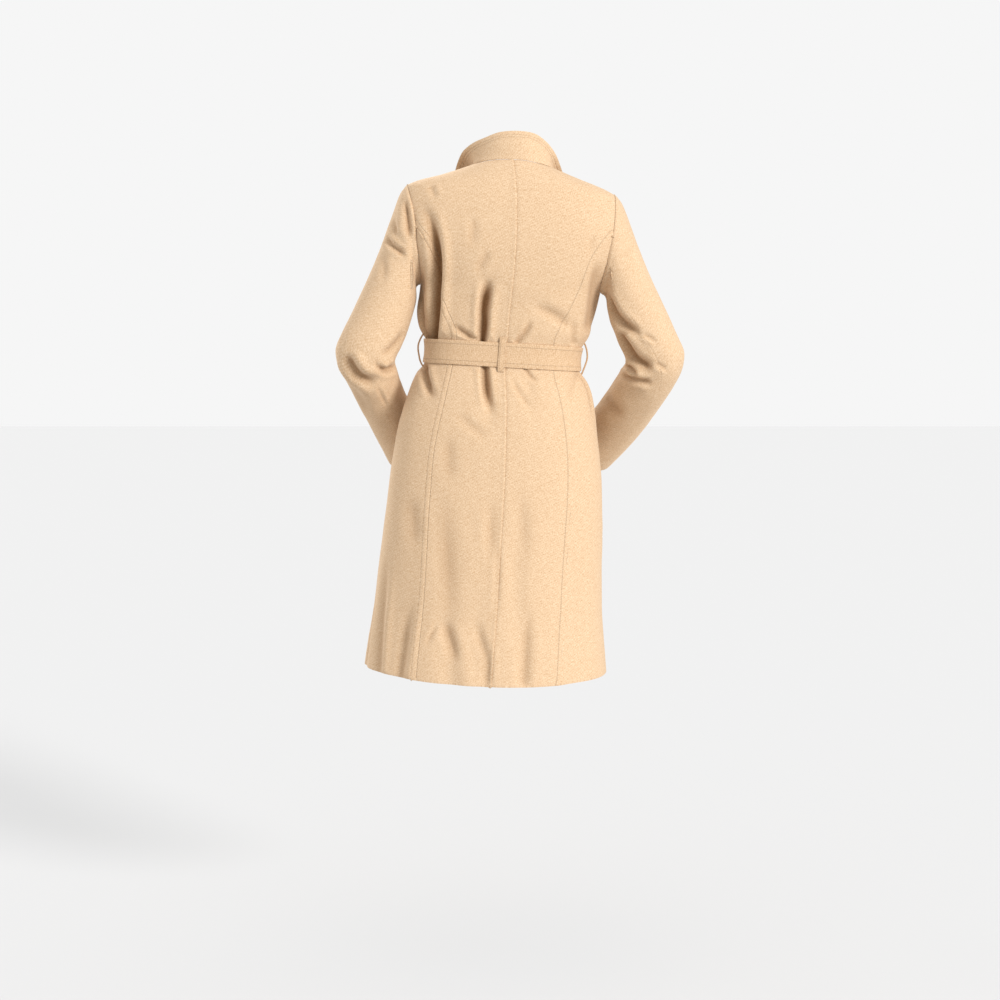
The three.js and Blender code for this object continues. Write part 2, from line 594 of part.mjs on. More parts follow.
function collarPiece() {
  const seam = [];
  const frontLevels = wholeRows.filter((level) => level >= collarEndLevel - 0.5);
  for (const level of [...frontLevels].reverse()) {
    seam.push({ side: 1, point: bodyPoint(frontAngle(level, 1, frontReach(level)), level) });
  }
  for (const side of [1, -1]) {
    const edge = Math.abs(sideAngle(neckLevel, side, halfGap));
    const middle = Math.abs(backAngle(neckLevel, side, halfGap));
    for (let step = 0; step <= backColumns; step += 1) {
      const column = side > 0 ? backColumns - step : step;
      const angle = THREE.MathUtils.lerp(middle, edge, column / backColumns);
      if (side < 0 && step === 0) continue;
      seam.push({ side, point: bodyPoint(side * angle, neckLevel), middle: column === 0 });
    }
  }
  for (const level of frontLevels) {
    seam.push({ side: -1, point: bodyPoint(frontAngle(level, -1, frontReach(level)), level) });
  }
  const centre = seam.findIndex((entry) => entry.middle);
  const rimOf = (rows, side) => new THREE.CatmullRomCurve3(
    rows.map((row) => new THREE.Vector3(collarRimCentre + side * row.out, row.y, row.z)),
    false,
    'centripetal',
  );
  const rims = { 1: rimOf(collarRimLeft, 1), '-1': rimOf(collarRimRight, -1) };
  const lengths = seam.map(() => 0);
  for (const step of [1, -1]) {
    for (let at = centre + step; at >= 0 && at < seam.length; at += step) {
      lengths[at] = lengths[at - step] + seam[at].point.distanceTo(seam[at - step].point);
    }
  }
  const rimPoints = seam.map((entry, at) => {
    const whole = at <= centre ? lengths[0] : lengths[seam.length - 1];
    return rims[entry.side].getPointAt(lengths[at] / whole);
  });
  const heights = [0, 0.3, 0.65, 1];
  const flat = heights.map((height) => seam.map((entry, at) => {
    const start = entry.point;
    const run = rimPoints[at].clone().sub(start);
    const gap = (seamGap + halfGap) / run.length();
    return start.clone().addScaledVector(run, gap + (1 - gap) * height);
  }));
  const normalAt = (grid, row, column) => {
    const across = grid[row][Math.min(column + 1, seam.length - 1)].clone()
      .sub(grid[row][Math.max(column - 1, 0)]);
    const up = grid[Math.min(row + 1, heights.length - 1)][column].clone()
      .sub(grid[Math.max(row - 1, 0)][column]);
    return across.cross(up).normalize();
  };
  const rollAt = (column) => THREE.MathUtils.lerp(collarRoll, collarLift, ease(lengths[column] / 110));
  const outer = flat.map((row, at) => row.map((point, column) => point.clone()
    .addScaledVector(normalAt(flat, at, column), rollAt(column) * Math.sin(Math.PI * heights[at]))));
  const inner = outer.map((row, at) => row.map((point, column) => point.clone()
    .addScaledVector(normalAt(outer, at, column), -clothWall)));
  return piece('collar', shell(outer, inner));
}

// ---- the belt and its loops ----

// A piece that lies on the coat: its points are the coat's own, moved out by the distances given.
function laidOn(name, rows, columns, angleOf, innerOffset, outerOffset, colour) {
  const outer = [];
  const inner = [];
  rows.forEach((level, row) => {
    const outerRow = [];
    const innerRow = [];
    for (let column = 0; column <= columns; column += 1) {
      const angle = angleOf(level, column / columns);
      const point = smoothBodyPoint(angle, level);
      const normal = normalOf(smoothBodyPoint, angle, level);
      const share = row / (rows.length - 1);
      innerRow.push(point.clone().addScaledVector(normal, innerOffset(share, column / columns)));
      outerRow.push(point.clone().addScaledVector(normal, outerOffset(share, column / columns)));
    }
    outer.push(outerRow);
    inner.push(innerRow);
  });
  return piece(name, shell(outer, inner), colour);
}

function levelsBetween(from, to, count) {
  return Array.from({ length: count + 1 }, (unused, step) => THREE.MathUtils.lerp(from, to, step / count));
}

const knotHalf = 31;            // half width of the tied knot
const knotDepth = 22;           // how far it stands out from the coat

function beltPiece() {
  const limit = (level, side) => frontAngle(level, side, knotHalf + 0.5);
  return laidOn(
    'belt',
    beltRows,
    54,
    (level, share) => THREE.MathUtils.lerp(limit(level, -1), limit(level, 1), share),
    () => beltClearance,
    () => beltClearance + beltWall,
  );
}

function knotPiece() {
  return laidOn(
    'belt_knot',
    levelsBetween(beltTop + 5, beltBottom - 5, 6),
    8,
    (level, share) => frontAngle(level, 1, THREE.MathUtils.lerp(-knotHalf, knotHalf, share)),
    () => beltClearance,
    (row, column) => {
      const across = Math.abs(2 * column - 1) ** 3;
      const down = Math.abs(2 * row - 1) ** 3;
      return beltClearance + 6 + (knotDepth - 6) * Math.sqrt((1 - across) * (1 - down));
    },
  );
}

function tailPiece(side) {
  const top = beltBottom - 5.6;
  const length = side > 0 ? 235 : 262;
  const half = (share) => 15 + 8.5 * ease(share / 0.25);
  const middle = (share) => side * (half(share) + 1.2 + 13 * ease(share / 0.8));
  return laidOn(
    `belt_tail_${sideKey(side)}`,
    levelsBetween(top, top - length, 10),
    3,
    (level, share) => {
      const down = (top - level) / length;
      return frontAngle(level, 1, middle(down) + half(down) * (2 * share - 1));
    },
    (row) => 1.2 + 5 * ease(1 - row * 3),
    (row) => 1.2 + beltWall + 5 * ease(1 - row * 3),
  );
}

const backLoopHalf = 6;         // half width of the cloth loop at the centre back
const backLoopX = 6;            // its place, a little left of the centre line
const backLoopFoot = 0.9;       // space under its sewn ends

function backLoopPiece() {
  const rise = (share) => ease(share / 0.14) * ease((1 - share) / 0.14);
  const over = beltClearance + beltWall;
  return laidOn(
    'belt_loop_back',
    levelsBetween(beltTop + 11, beltBottom - 10, 12),
    2,
    (level, share) => backAngle(level, 1, backLoopX + 2 + backLoopHalf * (2 * share - 1)),
    (row) => backLoopFoot + over * rise(row),
    (row) => backLoopFoot + over * rise(row) + 2.2,
  );
}

function threadLoopPiece(side) {
  const threadRadius = 1.3;
  const onCoat = (level, out) => {
    const point = smoothBodyPoint(side * 90, level);
    return point.addScaledVector(normalOf(smoothBodyPoint, side * 90, level), out);
  };
  const foot = threadRadius + 0.4;
  const route = [
    { level: beltTop + 8, out: foot },
    { level: beltTop - 1, out: 11 },
    { level: beltTop - 17, out: 16.5 },
    { level: beltBottom + 17, out: 14.5 },
    { level: beltBottom + 3, out: 9 },
    { level: beltBottom - 6, out: foot },
  ];
  const path = new THREE.CatmullRomCurve3(route.map((row) => onCoat(row.level, row.out)));
  const round = new THREE.Shape().absarc(0, 0, threadRadius, 0, 2 * Math.PI, false);
  const geometry = new THREE.ExtrudeGeometry(round, {
    steps: 12,
    curveSegments: 3,
    bevelEnabled: false,
    extrudePath: path,
  });
  return piece(`belt_loop_${sideKey(side)}`, geometry, threadColour);
}

// ---- the coat ----

const coat = new THREE.Group();
for (const side of [1, -1]) {
  coat.add(
    backPanel(side),
    sideBackPanel(side),
    sideFrontPanel(side),
    frontPanel(side),
    ...sleevePieces(side),
    tailPiece(side),
    threadLoopPiece(side),
  );
}
coat.add(collarPiece(), beltPiece(), knotPiece(), backLoopPiece());

export default coat;
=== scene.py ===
import math

import bmesh
import bpy
import numpy
from mathutils import Matrix, Vector, noise
from mathutils.bvhtree import BVHTree
from mathutils.kdtree import KDTree


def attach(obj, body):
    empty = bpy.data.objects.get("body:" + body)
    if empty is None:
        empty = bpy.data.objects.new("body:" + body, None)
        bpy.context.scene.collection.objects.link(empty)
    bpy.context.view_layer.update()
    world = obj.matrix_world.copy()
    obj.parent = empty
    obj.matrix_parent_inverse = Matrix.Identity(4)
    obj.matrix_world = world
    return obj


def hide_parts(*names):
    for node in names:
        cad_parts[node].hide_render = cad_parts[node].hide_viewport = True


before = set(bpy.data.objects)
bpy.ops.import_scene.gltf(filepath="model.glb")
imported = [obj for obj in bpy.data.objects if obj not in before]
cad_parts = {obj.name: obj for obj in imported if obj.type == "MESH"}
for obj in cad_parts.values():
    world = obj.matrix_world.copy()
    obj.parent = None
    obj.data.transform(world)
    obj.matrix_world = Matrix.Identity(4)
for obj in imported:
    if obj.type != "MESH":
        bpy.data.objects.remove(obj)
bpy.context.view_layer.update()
print("frame loaded")


# colours are sRGB hex, shader sockets want linear
def linear(hexColour):
    parts = [int(hexColour[i : i + 2], 16) / 255 for i in (1, 3, 5)]
    return [p / 12.92 if p < 0.04045 else ((p + 0.055) / 1.055) ** 2.4 for p in parts] + [1]


def node(tree, kind, links=None, **values):
    # one node: plain names are its own settings, and links holds what goes into each socket
    made = tree.nodes.new(kind)
    for name, value in values.items():
        setattr(made, name, value)
    for socket, value in (links or {}).items():
        entry = made.inputs[socket]
        if isinstance(value, bpy.types.NodeSocket):
            tree.links.new(value, entry)
        else:
            entry.default_value = value
    return made


# heathered melton: wool woven as a twill, then fulled until the nap nearly hides the weave
coatWool = {
    "light": "#d5bc9e",
    "dark": "#b2916e",
    "paintedCreaseShade": [0.45, 0.33, 0.22, 1],  # painted shade: how much of each colour is left at the bottom of a deep crease
    "mottle": 7.0,  # mm, clouds of lighter and darker fibre
    "fleck": 1.6,  # mm, single flecks, drawn coarser than the real ones
    "twill": 2.2,  # mm between twill lines, drawn coarser than the real 1.2
    "napDepth": 0.5,  # mm
    "grooves": (10,),  # mm from the seam to each line of topstitching
    "grooveWidth": 1.5,  # mm
    "grooveDepth": 0.9,  # mm
}
beltWool = dict(coatWool, light="#d2b798", dark="#ad8b67", grooves=(7.5,), grooveDepth=0.7)
narrowWool = dict(beltWool, grooves=(2.2,), grooveWidth=0.9, grooveDepth=0.5)


def woolMaterial(name, wool):
    made = bpy.data.materials.new(name)
    made.use_nodes = True
    tree = made.node_tree
    tree.nodes.clear()
    place = node(tree, "ShaderNodeTexCoord").outputs["Object"]
    clothPlace = node(tree, "ShaderNodeUVMap", uv_map="cloth").outputs["UV"]
    clouds = node(tree, "ShaderNodeTexNoise", {
        "Vector": place, "Scale": 1000 / wool["mottle"], "Detail": 2.0, "Roughness": 0.55,
    }).outputs["Fac"]
    fleckPlace = node(tree, "ShaderNodeMapping", {"Vector": clothPlace, "Scale": (1.0, 0.45, 1.0)}).outputs[0]
    flecks = node(tree, "ShaderNodeTexNoise", {
        "Vector": fleckPlace, "Scale": 1000 / wool["fleck"], "Detail": 1.0, "Roughness": 0.6,
    }).outputs["Fac"]
    twillPlace = node(tree, "ShaderNodeMapping", {
        "Vector": clothPlace, "Rotation": (0, 0, math.radians(63)),
    }).outputs[0]
    twill = node(tree, "ShaderNodeTexWave", {
        "Vector": twillPlace, "Scale": 1000 / wool["twill"] / 20 * math.pi, "Distortion": 2.5, "Detail": 2.0,
        "Detail Scale": 3.0,
    }, wave_type="BANDS", bands_direction="X", wave_profile="SIN").outputs["Fac"]
    tone = node(tree, "ShaderNodeMath", {0: clouds, 1: 0.5, 2: -0.25}, operation="MULTIPLY_ADD").outputs[0]
    tone = node(tree, "ShaderNodeMath", {0: flecks, 1: 1.7, 2: tone}, operation="MULTIPLY_ADD").outputs[0]
    tone = node(tree, "ShaderNodeMath", {0: twill, 1: 0.16, 2: tone}, operation="MULTIPLY_ADD").outputs[0]
    tone = node(tree, "ShaderNodeMapRange", {"Value": tone, "From Min": 0.45, "From Max": 1.45}).outputs[0]
    colour = node(tree, "ShaderNodeMix", {
        0: tone, 6: linear(wool["dark"]), 7: linear(wool["light"]),
    }, data_type="RGBA").outputs[2]
    # painted shade: the colour is darkened where the cloth lies deep in a crease, as if in shadow
    paintedCreaseShade = node(tree, "ShaderNodeAttribute", attribute_name="paintedCreaseShade").outputs["Fac"]
    shade = node(tree, "ShaderNodeMix", {
        0: paintedCreaseShade, 6: [1, 1, 1, 1], 7: wool["paintedCreaseShade"],
    }, data_type="RGBA").outputs[2]
    colour = node(tree, "ShaderNodeMix", {0: 1.0, 6: colour, 7: shade}, data_type="RGBA",
                  blend_type="MULTIPLY")
    colour = colour.outputs[2]
    nap = node(tree, "ShaderNodeMath", {0: flecks, 1: 1.4, 2: 0.0}, operation="MULTIPLY_ADD").outputs[0]
    nap = node(tree, "ShaderNodeMath", {0: clouds, 1: 0.9, 2: nap}, operation="MULTIPLY_ADD").outputs[0]
    nap = node(tree, "ShaderNodeMath", {0: twill, 1: 0.3, 2: nap}, operation="MULTIPLY_ADD").outputs[0]
    bump = node(tree, "ShaderNodeBump", {
        "Height": nap, "Strength": 0.55, "Distance": wool["napDepth"] / 1000,
    }).outputs[0]
    if wool["grooves"]:
        away = node(tree, "ShaderNodeAttribute", attribute_name="stitchDistance").outputs["Fac"]
        height = 0.0
        for line in wool["grooves"]:
            gap = node(tree, "ShaderNodeMath", {0: away, 1: line}, operation="SUBTRACT").outputs[0]
            gap = node(tree, "ShaderNodeMath", {0: gap}, operation="ABSOLUTE").outputs[0]
            lift = node(tree, "ShaderNodeMapRange", {
                "Value": gap, "From Max": wool["grooveWidth"],
            }, interpolation_type="SMOOTHSTEP").outputs[0]
            height = node(tree, "ShaderNodeMath", {0: lift, 1: height}, operation="ADD").outputs[0]
        bump = node(tree, "ShaderNodeBump", {
            "Height": height, "Strength": 1.0, "Distance": wool["grooveDepth"] / 1000, "Normal": bump,
        }).outputs[0]
    clothShader = node(tree, "ShaderNodeBsdfPrincipled", {
        "Base Color": colour, "Roughness": 0.95, "Specular IOR Level": 0.15, "Normal": bump,
        "Sheen Weight": 0.25, "Sheen Roughness": 0.45, "Sheen Tint": linear("#ffe9cf"),
    }).outputs[0]
    node(tree, "ShaderNodeOutputMaterial", {"Surface": clothShader})
    return made


coatMaterial = woolMaterial("heatheredWoolCoat", coatWool)
collarMaterial = woolMaterial("heatheredWoolCollar", dict(coatWool, grooves=(8, 13), grooveDepth=0.6))
beltMaterial = woolMaterial("heatheredWoolBelt", beltWool)
narrowMaterial = woolMaterial("heatheredWoolBeltLoop", narrowWool)


def outerSheet(nodeName, outward, openTowards=None):
    # a cloth piece is drawn out of its solid: its outer face is kept, the one that reaches furthest outward
    sheet = bmesh.new()
    sheet.from_mesh(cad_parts[nodeName].data)
    bmesh.ops.remove_doubles(sheet, verts=sheet.verts, dist=0.00003)
    outward = Vector(outward)
    rim = {f for f in sheet.faces if 2 * f.calc_area() / max(e.calc_length() for e in f.edges) < 0.0036}
    islands = []
    seen = set()
    for start in sheet.faces:
        if start in seen:
            continue
        island = [start]
        seen.add(start)
        for face in island:
            for edge in face.edges:
                sharp = edge.calc_face_angle(0) > math.radians(48)
                for other in edge.link_faces:
                    if other not in seen and not (sharp and (face in rim or other in rim)):
                        seen.add(other)
                        island.append(other)
        islands.append(island)
    whole = sum(f.calc_area() for f in sheet.faces)
    large = [i for i in islands if sum(f.calc_area() for f in i) > 0.2 * whole]
    best = max(large, key=lambda i: max(f.calc_center_median().dot(outward) for f in i))
    keep = set(best)
    if openTowards:
        keep = {f for f in keep if f.normal.dot(Vector(openTowards)) < 0.6}
    bmesh.ops.delete(sheet, geom=[f for f in sheet.faces if f not in keep], context="FACES")
    bmesh.ops.join_triangles(
        sheet, faces=sheet.faces, angle_face_threshold=math.pi, angle_shape_threshold=math.pi
    )
    # real corners of the cut stay sharp, every other point of the edge is drawn as a smooth line
    corner = sheet.verts.layers.float.new("crease_vert")
    for vert in sheet.verts:
        ways = [e.other_vert(vert).co - vert.co for e in vert.link_edges if e.is_boundary]
        if len(ways) == 2 and ways[0].angle(ways[1]) < math.radians(135):
            vert[corner] = 1.0
    return sheet


def meshObject(name, sheet):
    data = bpy.data.meshes.new(name)
    sheet.to_mesh(data)
    sheet.free()
    made = bpy.data.objects.new(name, data)
    bpy.context.scene.collection.objects.link(made)
    return made


def applied(piece):
    # the piece with its modifiers worked in
    graph = bpy.context.evaluated_depsgraph_get()
    data = bpy.data.meshes.new_from_object(piece.evaluated_get(graph))
    piece.modifiers.clear()
    old = piece.data
    piece.data = data
    bpy.data.meshes.remove(old)
    data.name = piece.name
    return piece


def flattened(piece):
    # lay the piece flat, as its paper pattern, in metres and with the grain upright
    bpy.context.view_layer.objects.active = piece
    piece.select_set(True)
    bpy.ops.object.mode_set(mode="EDIT")
    bpy.ops.mesh.select_all(action="SELECT")
    bpy.ops.uv.unwrap(method="CONFORMAL", margin=0.0)
    bpy.ops.object.mode_set(mode="OBJECT")
    piece.select_set(False)
    data = piece.data
    layer = data.uv_layers.active
    layer.name = "cloth"
    flat = numpy.zeros(len(data.loops) * 2)
    layer.data.foreach_get("uv", flat)
    flat = flat.reshape(-1, 2)
    points = numpy.zeros(len(data.vertices) * 3)
    data.vertices.foreach_get("co", points)
    corner = numpy.zeros(len(data.loops), dtype=int)
    data.loops.foreach_get("vertex_index", corner)
    height = points.reshape(-1, 3)[corner, 2]
    drawn = 0.0
    for face in data.polygons:
        ring = flat[list(face.loop_indices)]
        turned = numpy.roll(ring, -1, axis=0)
        drawn += 0.5 * abs(numpy.sum(ring[:, 0] * turned[:, 1] - ring[:, 1] * turned[:, 0]))
    flat = (flat - flat.mean(axis=0)) * math.sqrt(sum(f.area for f in data.polygons) / drawn)
    grain = (height - height.mean()) @ flat
    grain /= numpy.linalg.norm(grain)
    flat = numpy.stack([flat @ [grain[1], -grain[0]], flat @ grain], axis=1)
    layer.data.foreach_set("uv", flat.ravel())
    return flat.max(axis=0) - flat.min(axis=0)


def coordinates(piece):
    points = numpy.zeros(len(piece.data.vertices) * 3)
    piece.data.vertices.foreach_get("co", points)
    return points.reshape(-1, 3)


def vertexNormals(piece):
    normals = numpy.zeros(len(piece.data.vertices) * 3)
    piece.data.vertex_normals.foreach_get("vector", normals)
    return normals.reshape(-1, 3)


def moveAlong(piece, normals, amount):
    points = coordinates(piece) + normals * amount[:, None]
    piece.data.vertices.foreach_set("co", points.ravel())
    piece.data.update()


viewpoint = (0.00975, 4.3, -0.365)  # where somebody stands behind the coat


def seenFromBehind(points):
    # where each point shows on an upright board through the origin, from the viewpoint
    eye = numpy.array(viewpoint)
    reach = eye[1] / (eye[1] - points[:, 1])
    board = eye + (points - eye) * reach[:, None]
    return board[:, [0, 2]] * 1000


views = {
    "back": (seenFromBehind, (0, 1, 0)),
    "front": (lambda points: points[:, [0, 2]] * 1000, (0, -1, 0)),
    "left": (lambda points: points[:, [1, 2]] * 1000, (1, 0, 0)),
    "right": (lambda points: points[:, [1, 2]] * 1000, (-1, 0, 0)),
}


def softStep(value, low, high):
    t = numpy.clip((value - low) / (high - low), 0, 1)
    return t * t * (3 - 2 * t)


def smoothRoute(points, steps=6):
    # a curve through the points of a crease
    points = [numpy.array(p, dtype=float) for p in points]
    points = [2 * points[0] - points[1]] + points + [2 * points[-1] - points[-2]]
    route = []
    for a, b, c, d in zip(points, points[1:], points[2:], points[3:]):
        for k in range(steps):
            t = k / steps
            route.append(0.5 * (2 * b + (c - a) * t + (2 * a - 5 * b + 4 * c - d) * t * t
                                + (3 * b - a - 3 * c + d) * t ** 3))
    return route + [points[-2]]


def creaseRelief(points, normals, crease):
    # mm in or out: a valley along the route with a rounded lip on either side, fading towards its ends
    project, towards = views[crease.get("seen", "back")]
    facing = softStep(normals @ numpy.array(towards, dtype=float), 0.02, 0.35)
    flat = project(points)
    route = smoothRoute(crease["route"])
    width = crease["width"]
    low = numpy.min(route, axis=0) - 4 * width
    high = numpy.max(route, axis=0) + 4 * width
    near = numpy.where(numpy.all((flat > low) & (flat < high), axis=1) & (facing > 0))[0]
    relief = numpy.zeros(len(points))
    if not len(near):
        return relief
    spot = flat[near]
    best = numpy.full(len(near), 1e9)
    sideways = numpy.zeros(len(near))
    along = numpy.zeros(len(near))
    runs = [numpy.linalg.norm(b - a) for a, b in zip(route, route[1:])]
    whole = sum(runs)
    done = 0.0
    for a, b, run in zip(route, route[1:], runs):
        step = (b - a) / run
        t = numpy.clip((spot - a) @ step, 0, run)
        off = spot - a - t[:, None] * step
        gap = numpy.hypot(off[:, 0], off[:, 1])
        closer = gap < best
        best = numpy.where(closer, gap, best)
        turn = step[0] * off[:, 1] - step[1] * off[:, 0]
        sideways = numpy.where(closer, numpy.sign(turn) * gap, sideways)
        along = numpy.where(closer, (done + t) / whole, along)
        done += run
    start, end = crease.get("fade", (0.35, 0.35))
    strength = numpy.ones(len(near))
    if start:
        strength *= softStep(along, 0, start)
    if end:
        strength *= softStep(1 - along, 0, end)
    width = width * (1 + crease.get("spread", 0) * (1 - along))
    t = sideways / width
    valley = numpy.exp(-numpy.abs(t) ** 1.7)
    lip = numpy.exp(-(((numpy.abs(t) - 1.9) / 1.0) ** 2))
    left, right = crease.get("lips", (0.2, 0.2))
    lips = numpy.where(t > 0, left, right) * lip
    relief[near] = crease["depth"] * (lips - valley) * strength * facing[near]
    return relief


# every crease: route in mm as seen from its side, half width of the valley, depth, how high each lip stands
# (left and right of the route's way, as parts of the depth), and how soon it fades in and out;
# seen: the side it is drawn from, behind unless it says so; spread: how much wider it is where it starts
bodyCreases = [
    {"route": [(165, -68), (154, -95), (144, -117), (136, -156), (133, -198), (135, -239), (137, -280),
               (141, -321), (143, -349)], "width": 9.5, "depth": 21, "lips": (0.1, 0.3), "fade": (0.45, 0.0)},
    {"route": [(146, -42), (141, -56), (133, -74)], "width": 6, "depth": 2.5, "lips": (0.2, 0.4)},
    {"route": [(64, -100), (61, -135), (66, -168)], "width": 9, "depth": 2.2},
    {"route": [(29, -170), (42, -192), (58, -216)], "width": 8, "depth": 3, "lips": (0.2, 0.3)},
    {"route": [(164, -190), (161, -230), (163, -267), (160, -306), (155, -346)], "width": 6, "depth": 6,
     "lips": (0.2, 0.1), "fade": (0.4, 0.0)},
    {"route": [(30, -222), (36, -250), (41, -285), (42, -312), (45, -349)], "width": 7.5, "depth": 16,
     "lips": (0.28, 0.3), "fade": (0.35, 0.0), "spread": 0.2},
    {"route": [(104, -314), (82, -331), (52, -348)], "width": 6, "depth": 7, "lips": (0.35, 0.1),
     "fade": (0.4, 0.1)},
    {"route": [(-181, -186), (-173, -236), (-168, -287), (-160, -335)], "width": 9, "depth": 5.5,
     "lips": (0.25, 0.2), "fade": (0.3, 0.15)},
    {"route": [(-52, -279), (-88, -292), (-115, -310), (-135, -330)], "width": 9, "depth": 4,
     "lips": (0.25, 0.25)},
    {"route": [(-135, -300), (-134, -349)], "width": 6, "depth": 3.5, "lips": (0.3, 0.2), "fade": (0.5, 0.0)},
    {"route": [(-52, -303), (-43, -325), (-24, -349)], "width": 6, "depth": 5, "lips": (0.3, 0.2),
     "fade": (0.5, 0.0)},
    {"route": [(-173, -140), (-164, -180)], "width": 7, "depth": 1.5},
    {"route": [(40, -396), (38, -425), (34, -458), (24, -497)], "width": 7, "depth": 12, "lips": (0.3, 0.2),
     "fade": (0.0, 0.6)},
    {"route": [(-36, -396), (-52, -417), (-72, -429)], "width": 4.5, "depth": 4, "lips": (0.2, 0.2),
     "fade": (0.0, 0.6)},
    {"route": [(-12, -416), (-33, -454), (-54, -482)], "width": 6, "depth": 2.6, "lips": (0.2, 0.2)},
    {"route": [(158, -396), (154, -419), (140, -464)], "width": 7, "depth": 10, "lips": (0.2, 0.35),
     "fade": (0.0, 0.5)},
    {"route": [(-139, -404), (-128, -440), (-122, -470)], "width": 6, "depth": 2, "fade": (0.0, 0.6)},
    {"route": [(98, -486), (66, -512), (26, -538)], "width": 9, "depth": 2.5, "lips": (0.3, 0.2)},
    {"route": [(110, -526), (110, -575), (107, -628)], "width": 13, "depth": 3},
    {"route": [(27, -640), (27, -710), (28, -800)], "width": 11, "depth": 2.8, "lips": (0.35, 0.1),
     "fade": (0.5, 0.5)},
    {"route": [(12, -735), (13, -800), (17, -895)], "width": 6, "depth": 1.6, "lips": (0.4, 0.1)},
    {"route": [(-29, -620), (-36, -700), (-43, -800)], "width": 13, "depth": 2, "lips": (0.2, 0.2),
     "fade": (0.5, 0.5)},
    {"route": [(120, -620), (115, -740), (111, -830), (110, -930)], "width": 19, "depth": 4.2,
     "lips": (0.3, 0.15), "fade": (0.5, 0.45)},
    {"route": [(120, -888), (113, -918), (103, -950), (98, -985)], "width": 10, "depth": 5,
     "lips": (0.25, 0.3), "fade": (0.35, 0.35)},
    {"route": [(129, -900), (143, -920), (157, -942)], "width": 5, "depth": 3, "lips": (0.5, 0.2)},
    {"route": [(63, -886), (48, -930), (36, -970), (36, -1012)], "width": 8, "depth": 3.2,
     "lips": (0.2, 0.35), "fade": (0.45, 0.0)},
    {"route": [(-46, -850), (-43, -920), (-38, -1012)], "width": 11, "depth": 3.8, "lips": (0.3, 0.3),
     "fade": (0.6, 0.0)},
    {"route": [(182, -848), (190, -900), (199, -960), (207, -1012)], "width": 8, "depth": 4.8,
     "lips": (0.15, 0.7), "fade": (0.5, 0.0)},
    {"route": [(183, -640), (180, -700), (178, -760)], "width": 14, "depth": 3.5},
    {"route": [(228, -740), (238, -840), (251, -1012)], "width": 7, "depth": 5, "lips": (0.1, 0.5),
     "fade": (0.5, 0.0)},
    # the same kinds of folds on the sides that are turned away
    {"seen": "front", "route": [(70, -248), (66, -292), (59, -352)], "width": 7, "depth": 7,
     "lips": (0.25, 0.3), "fade": (0.45, 0)},
    {"seen": "front", "route": [(-90, -262), (-82, -305), (-73, -352)], "width": 8, "depth": 6,
     "lips": (0.3, 0.2), "fade": (0.45, 0)},
    {"seen": "front", "route": [(119, -282), (112, -318), (104, -352)], "width": 6, "depth": 4,
     "lips": (0.3, 0.2), "fade": (0.5, 0)},
    {"seen": "front", "route": [(-126, -300), (-119, -352)], "width": 6, "depth": 3.5,
     "lips": (0.2, 0.3), "fade": (0.5, 0)},
    {"seen": "front", "route": [(76, -406), (80, -440), (89, -496)], "width": 7, "depth": 7,
     "lips": (0.3, 0.2), "fade": (0, 0.6)},
    {"seen": "front", "route": [(-78, -408), (-84, -445), (-96, -505)], "width": 7.5, "depth": 6,
     "lips": (0.2, 0.3), "fade": (0, 0.6)},
    {"seen": "front", "route": [(121, -406), (129, -445), (137, -482)], "width": 6, "depth": 3.5,
     "lips": (0.25, 0.2), "fade": (0, 0.6)},
    {"seen": "front", "route": [(-120, -408), (-129, -452)], "width": 6, "depth": 3,
     "lips": (0.2, 0.25), "fade": (0, 0.6)},
    {"seen": "front", "route": [(138, -104), (130, -150), (121, -196)], "width": 8, "depth": 3,
     "lips": (0.25, 0.2), "fade": (0.4, 0.4)},
    {"seen": "front", "route": [(-142, -116), (-133, -164), (-124, -205)], "width": 8, "depth": 3.5,
     "lips": (0.2, 0.3), "fade": (0.4, 0.4)},
    {"seen": "front", "route": [(112, -640), (117, -760), (121, -905)], "width": 15, "depth": 4,
     "lips": (0.3, 0.15), "fade": (0.5, 0.45)},
    {"seen": "front", "route": [(-132, -700), (-139, -820), (-148, -1012)], "width": 12, "depth": 4.5,
     "lips": (0.2, 0.3), "fade": (0.55, 0)},
    {"seen": "front", "route": [(62, -858), (66, -930), (72, -1012)], "width": 9, "depth": 3.4,
     "lips": (0.3, 0.3), "fade": (0.6, 0)},
    {"seen": "front", "route": [(-62, -820), (-67, -905), (-75, -1012)], "width": 11, "depth": 3.8,
     "lips": (0.25, 0.3), "fade": (0.6, 0)},
    {"seen": "front", "route": [(152, -862), (159, -935), (169, -1012)], "width": 9, "depth": 4.2,
     "lips": (0.2, 0.5), "fade": (0.5, 0)},
    {"seen": "left", "route": [(18, -252), (13, -300), (8, -348)], "width": 7, "depth": 5,
     "lips": (0.25, 0.3), "fade": (0.5, 0)},
    {"seen": "left", "route": [(-32, -404), (-38, -448), (-47, -498)], "width": 7, "depth": 5,
     "lips": (0.3, 0.2), "fade": (0, 0.6)},
    {"seen": "left", "route": [(8, -790), (14, -900), (21, -1012)], "width": 11, "depth": 4,
     "lips": (0.25, 0.35), "fade": (0.55, 0)},
    {"seen": "right", "route": [(-14, -262), (-9, -305), (-4, -356)], "width": 7, "depth": 5,
     "lips": (0.3, 0.2), "fade": (0.5, 0)},
    {"seen": "right", "route": [(24, -416), (31, -458), (39, -505)], "width": 7, "depth": 4.5,
     "lips": (0.2, 0.3), "fade": (0, 0.6)},
    {"seen": "right", "route": [(-22, -770), (-28, -895), (-36, -1012)], "width": 12, "depth": 4,
     "lips": (0.3, 0.25), "fade": (0.55, 0)},
]
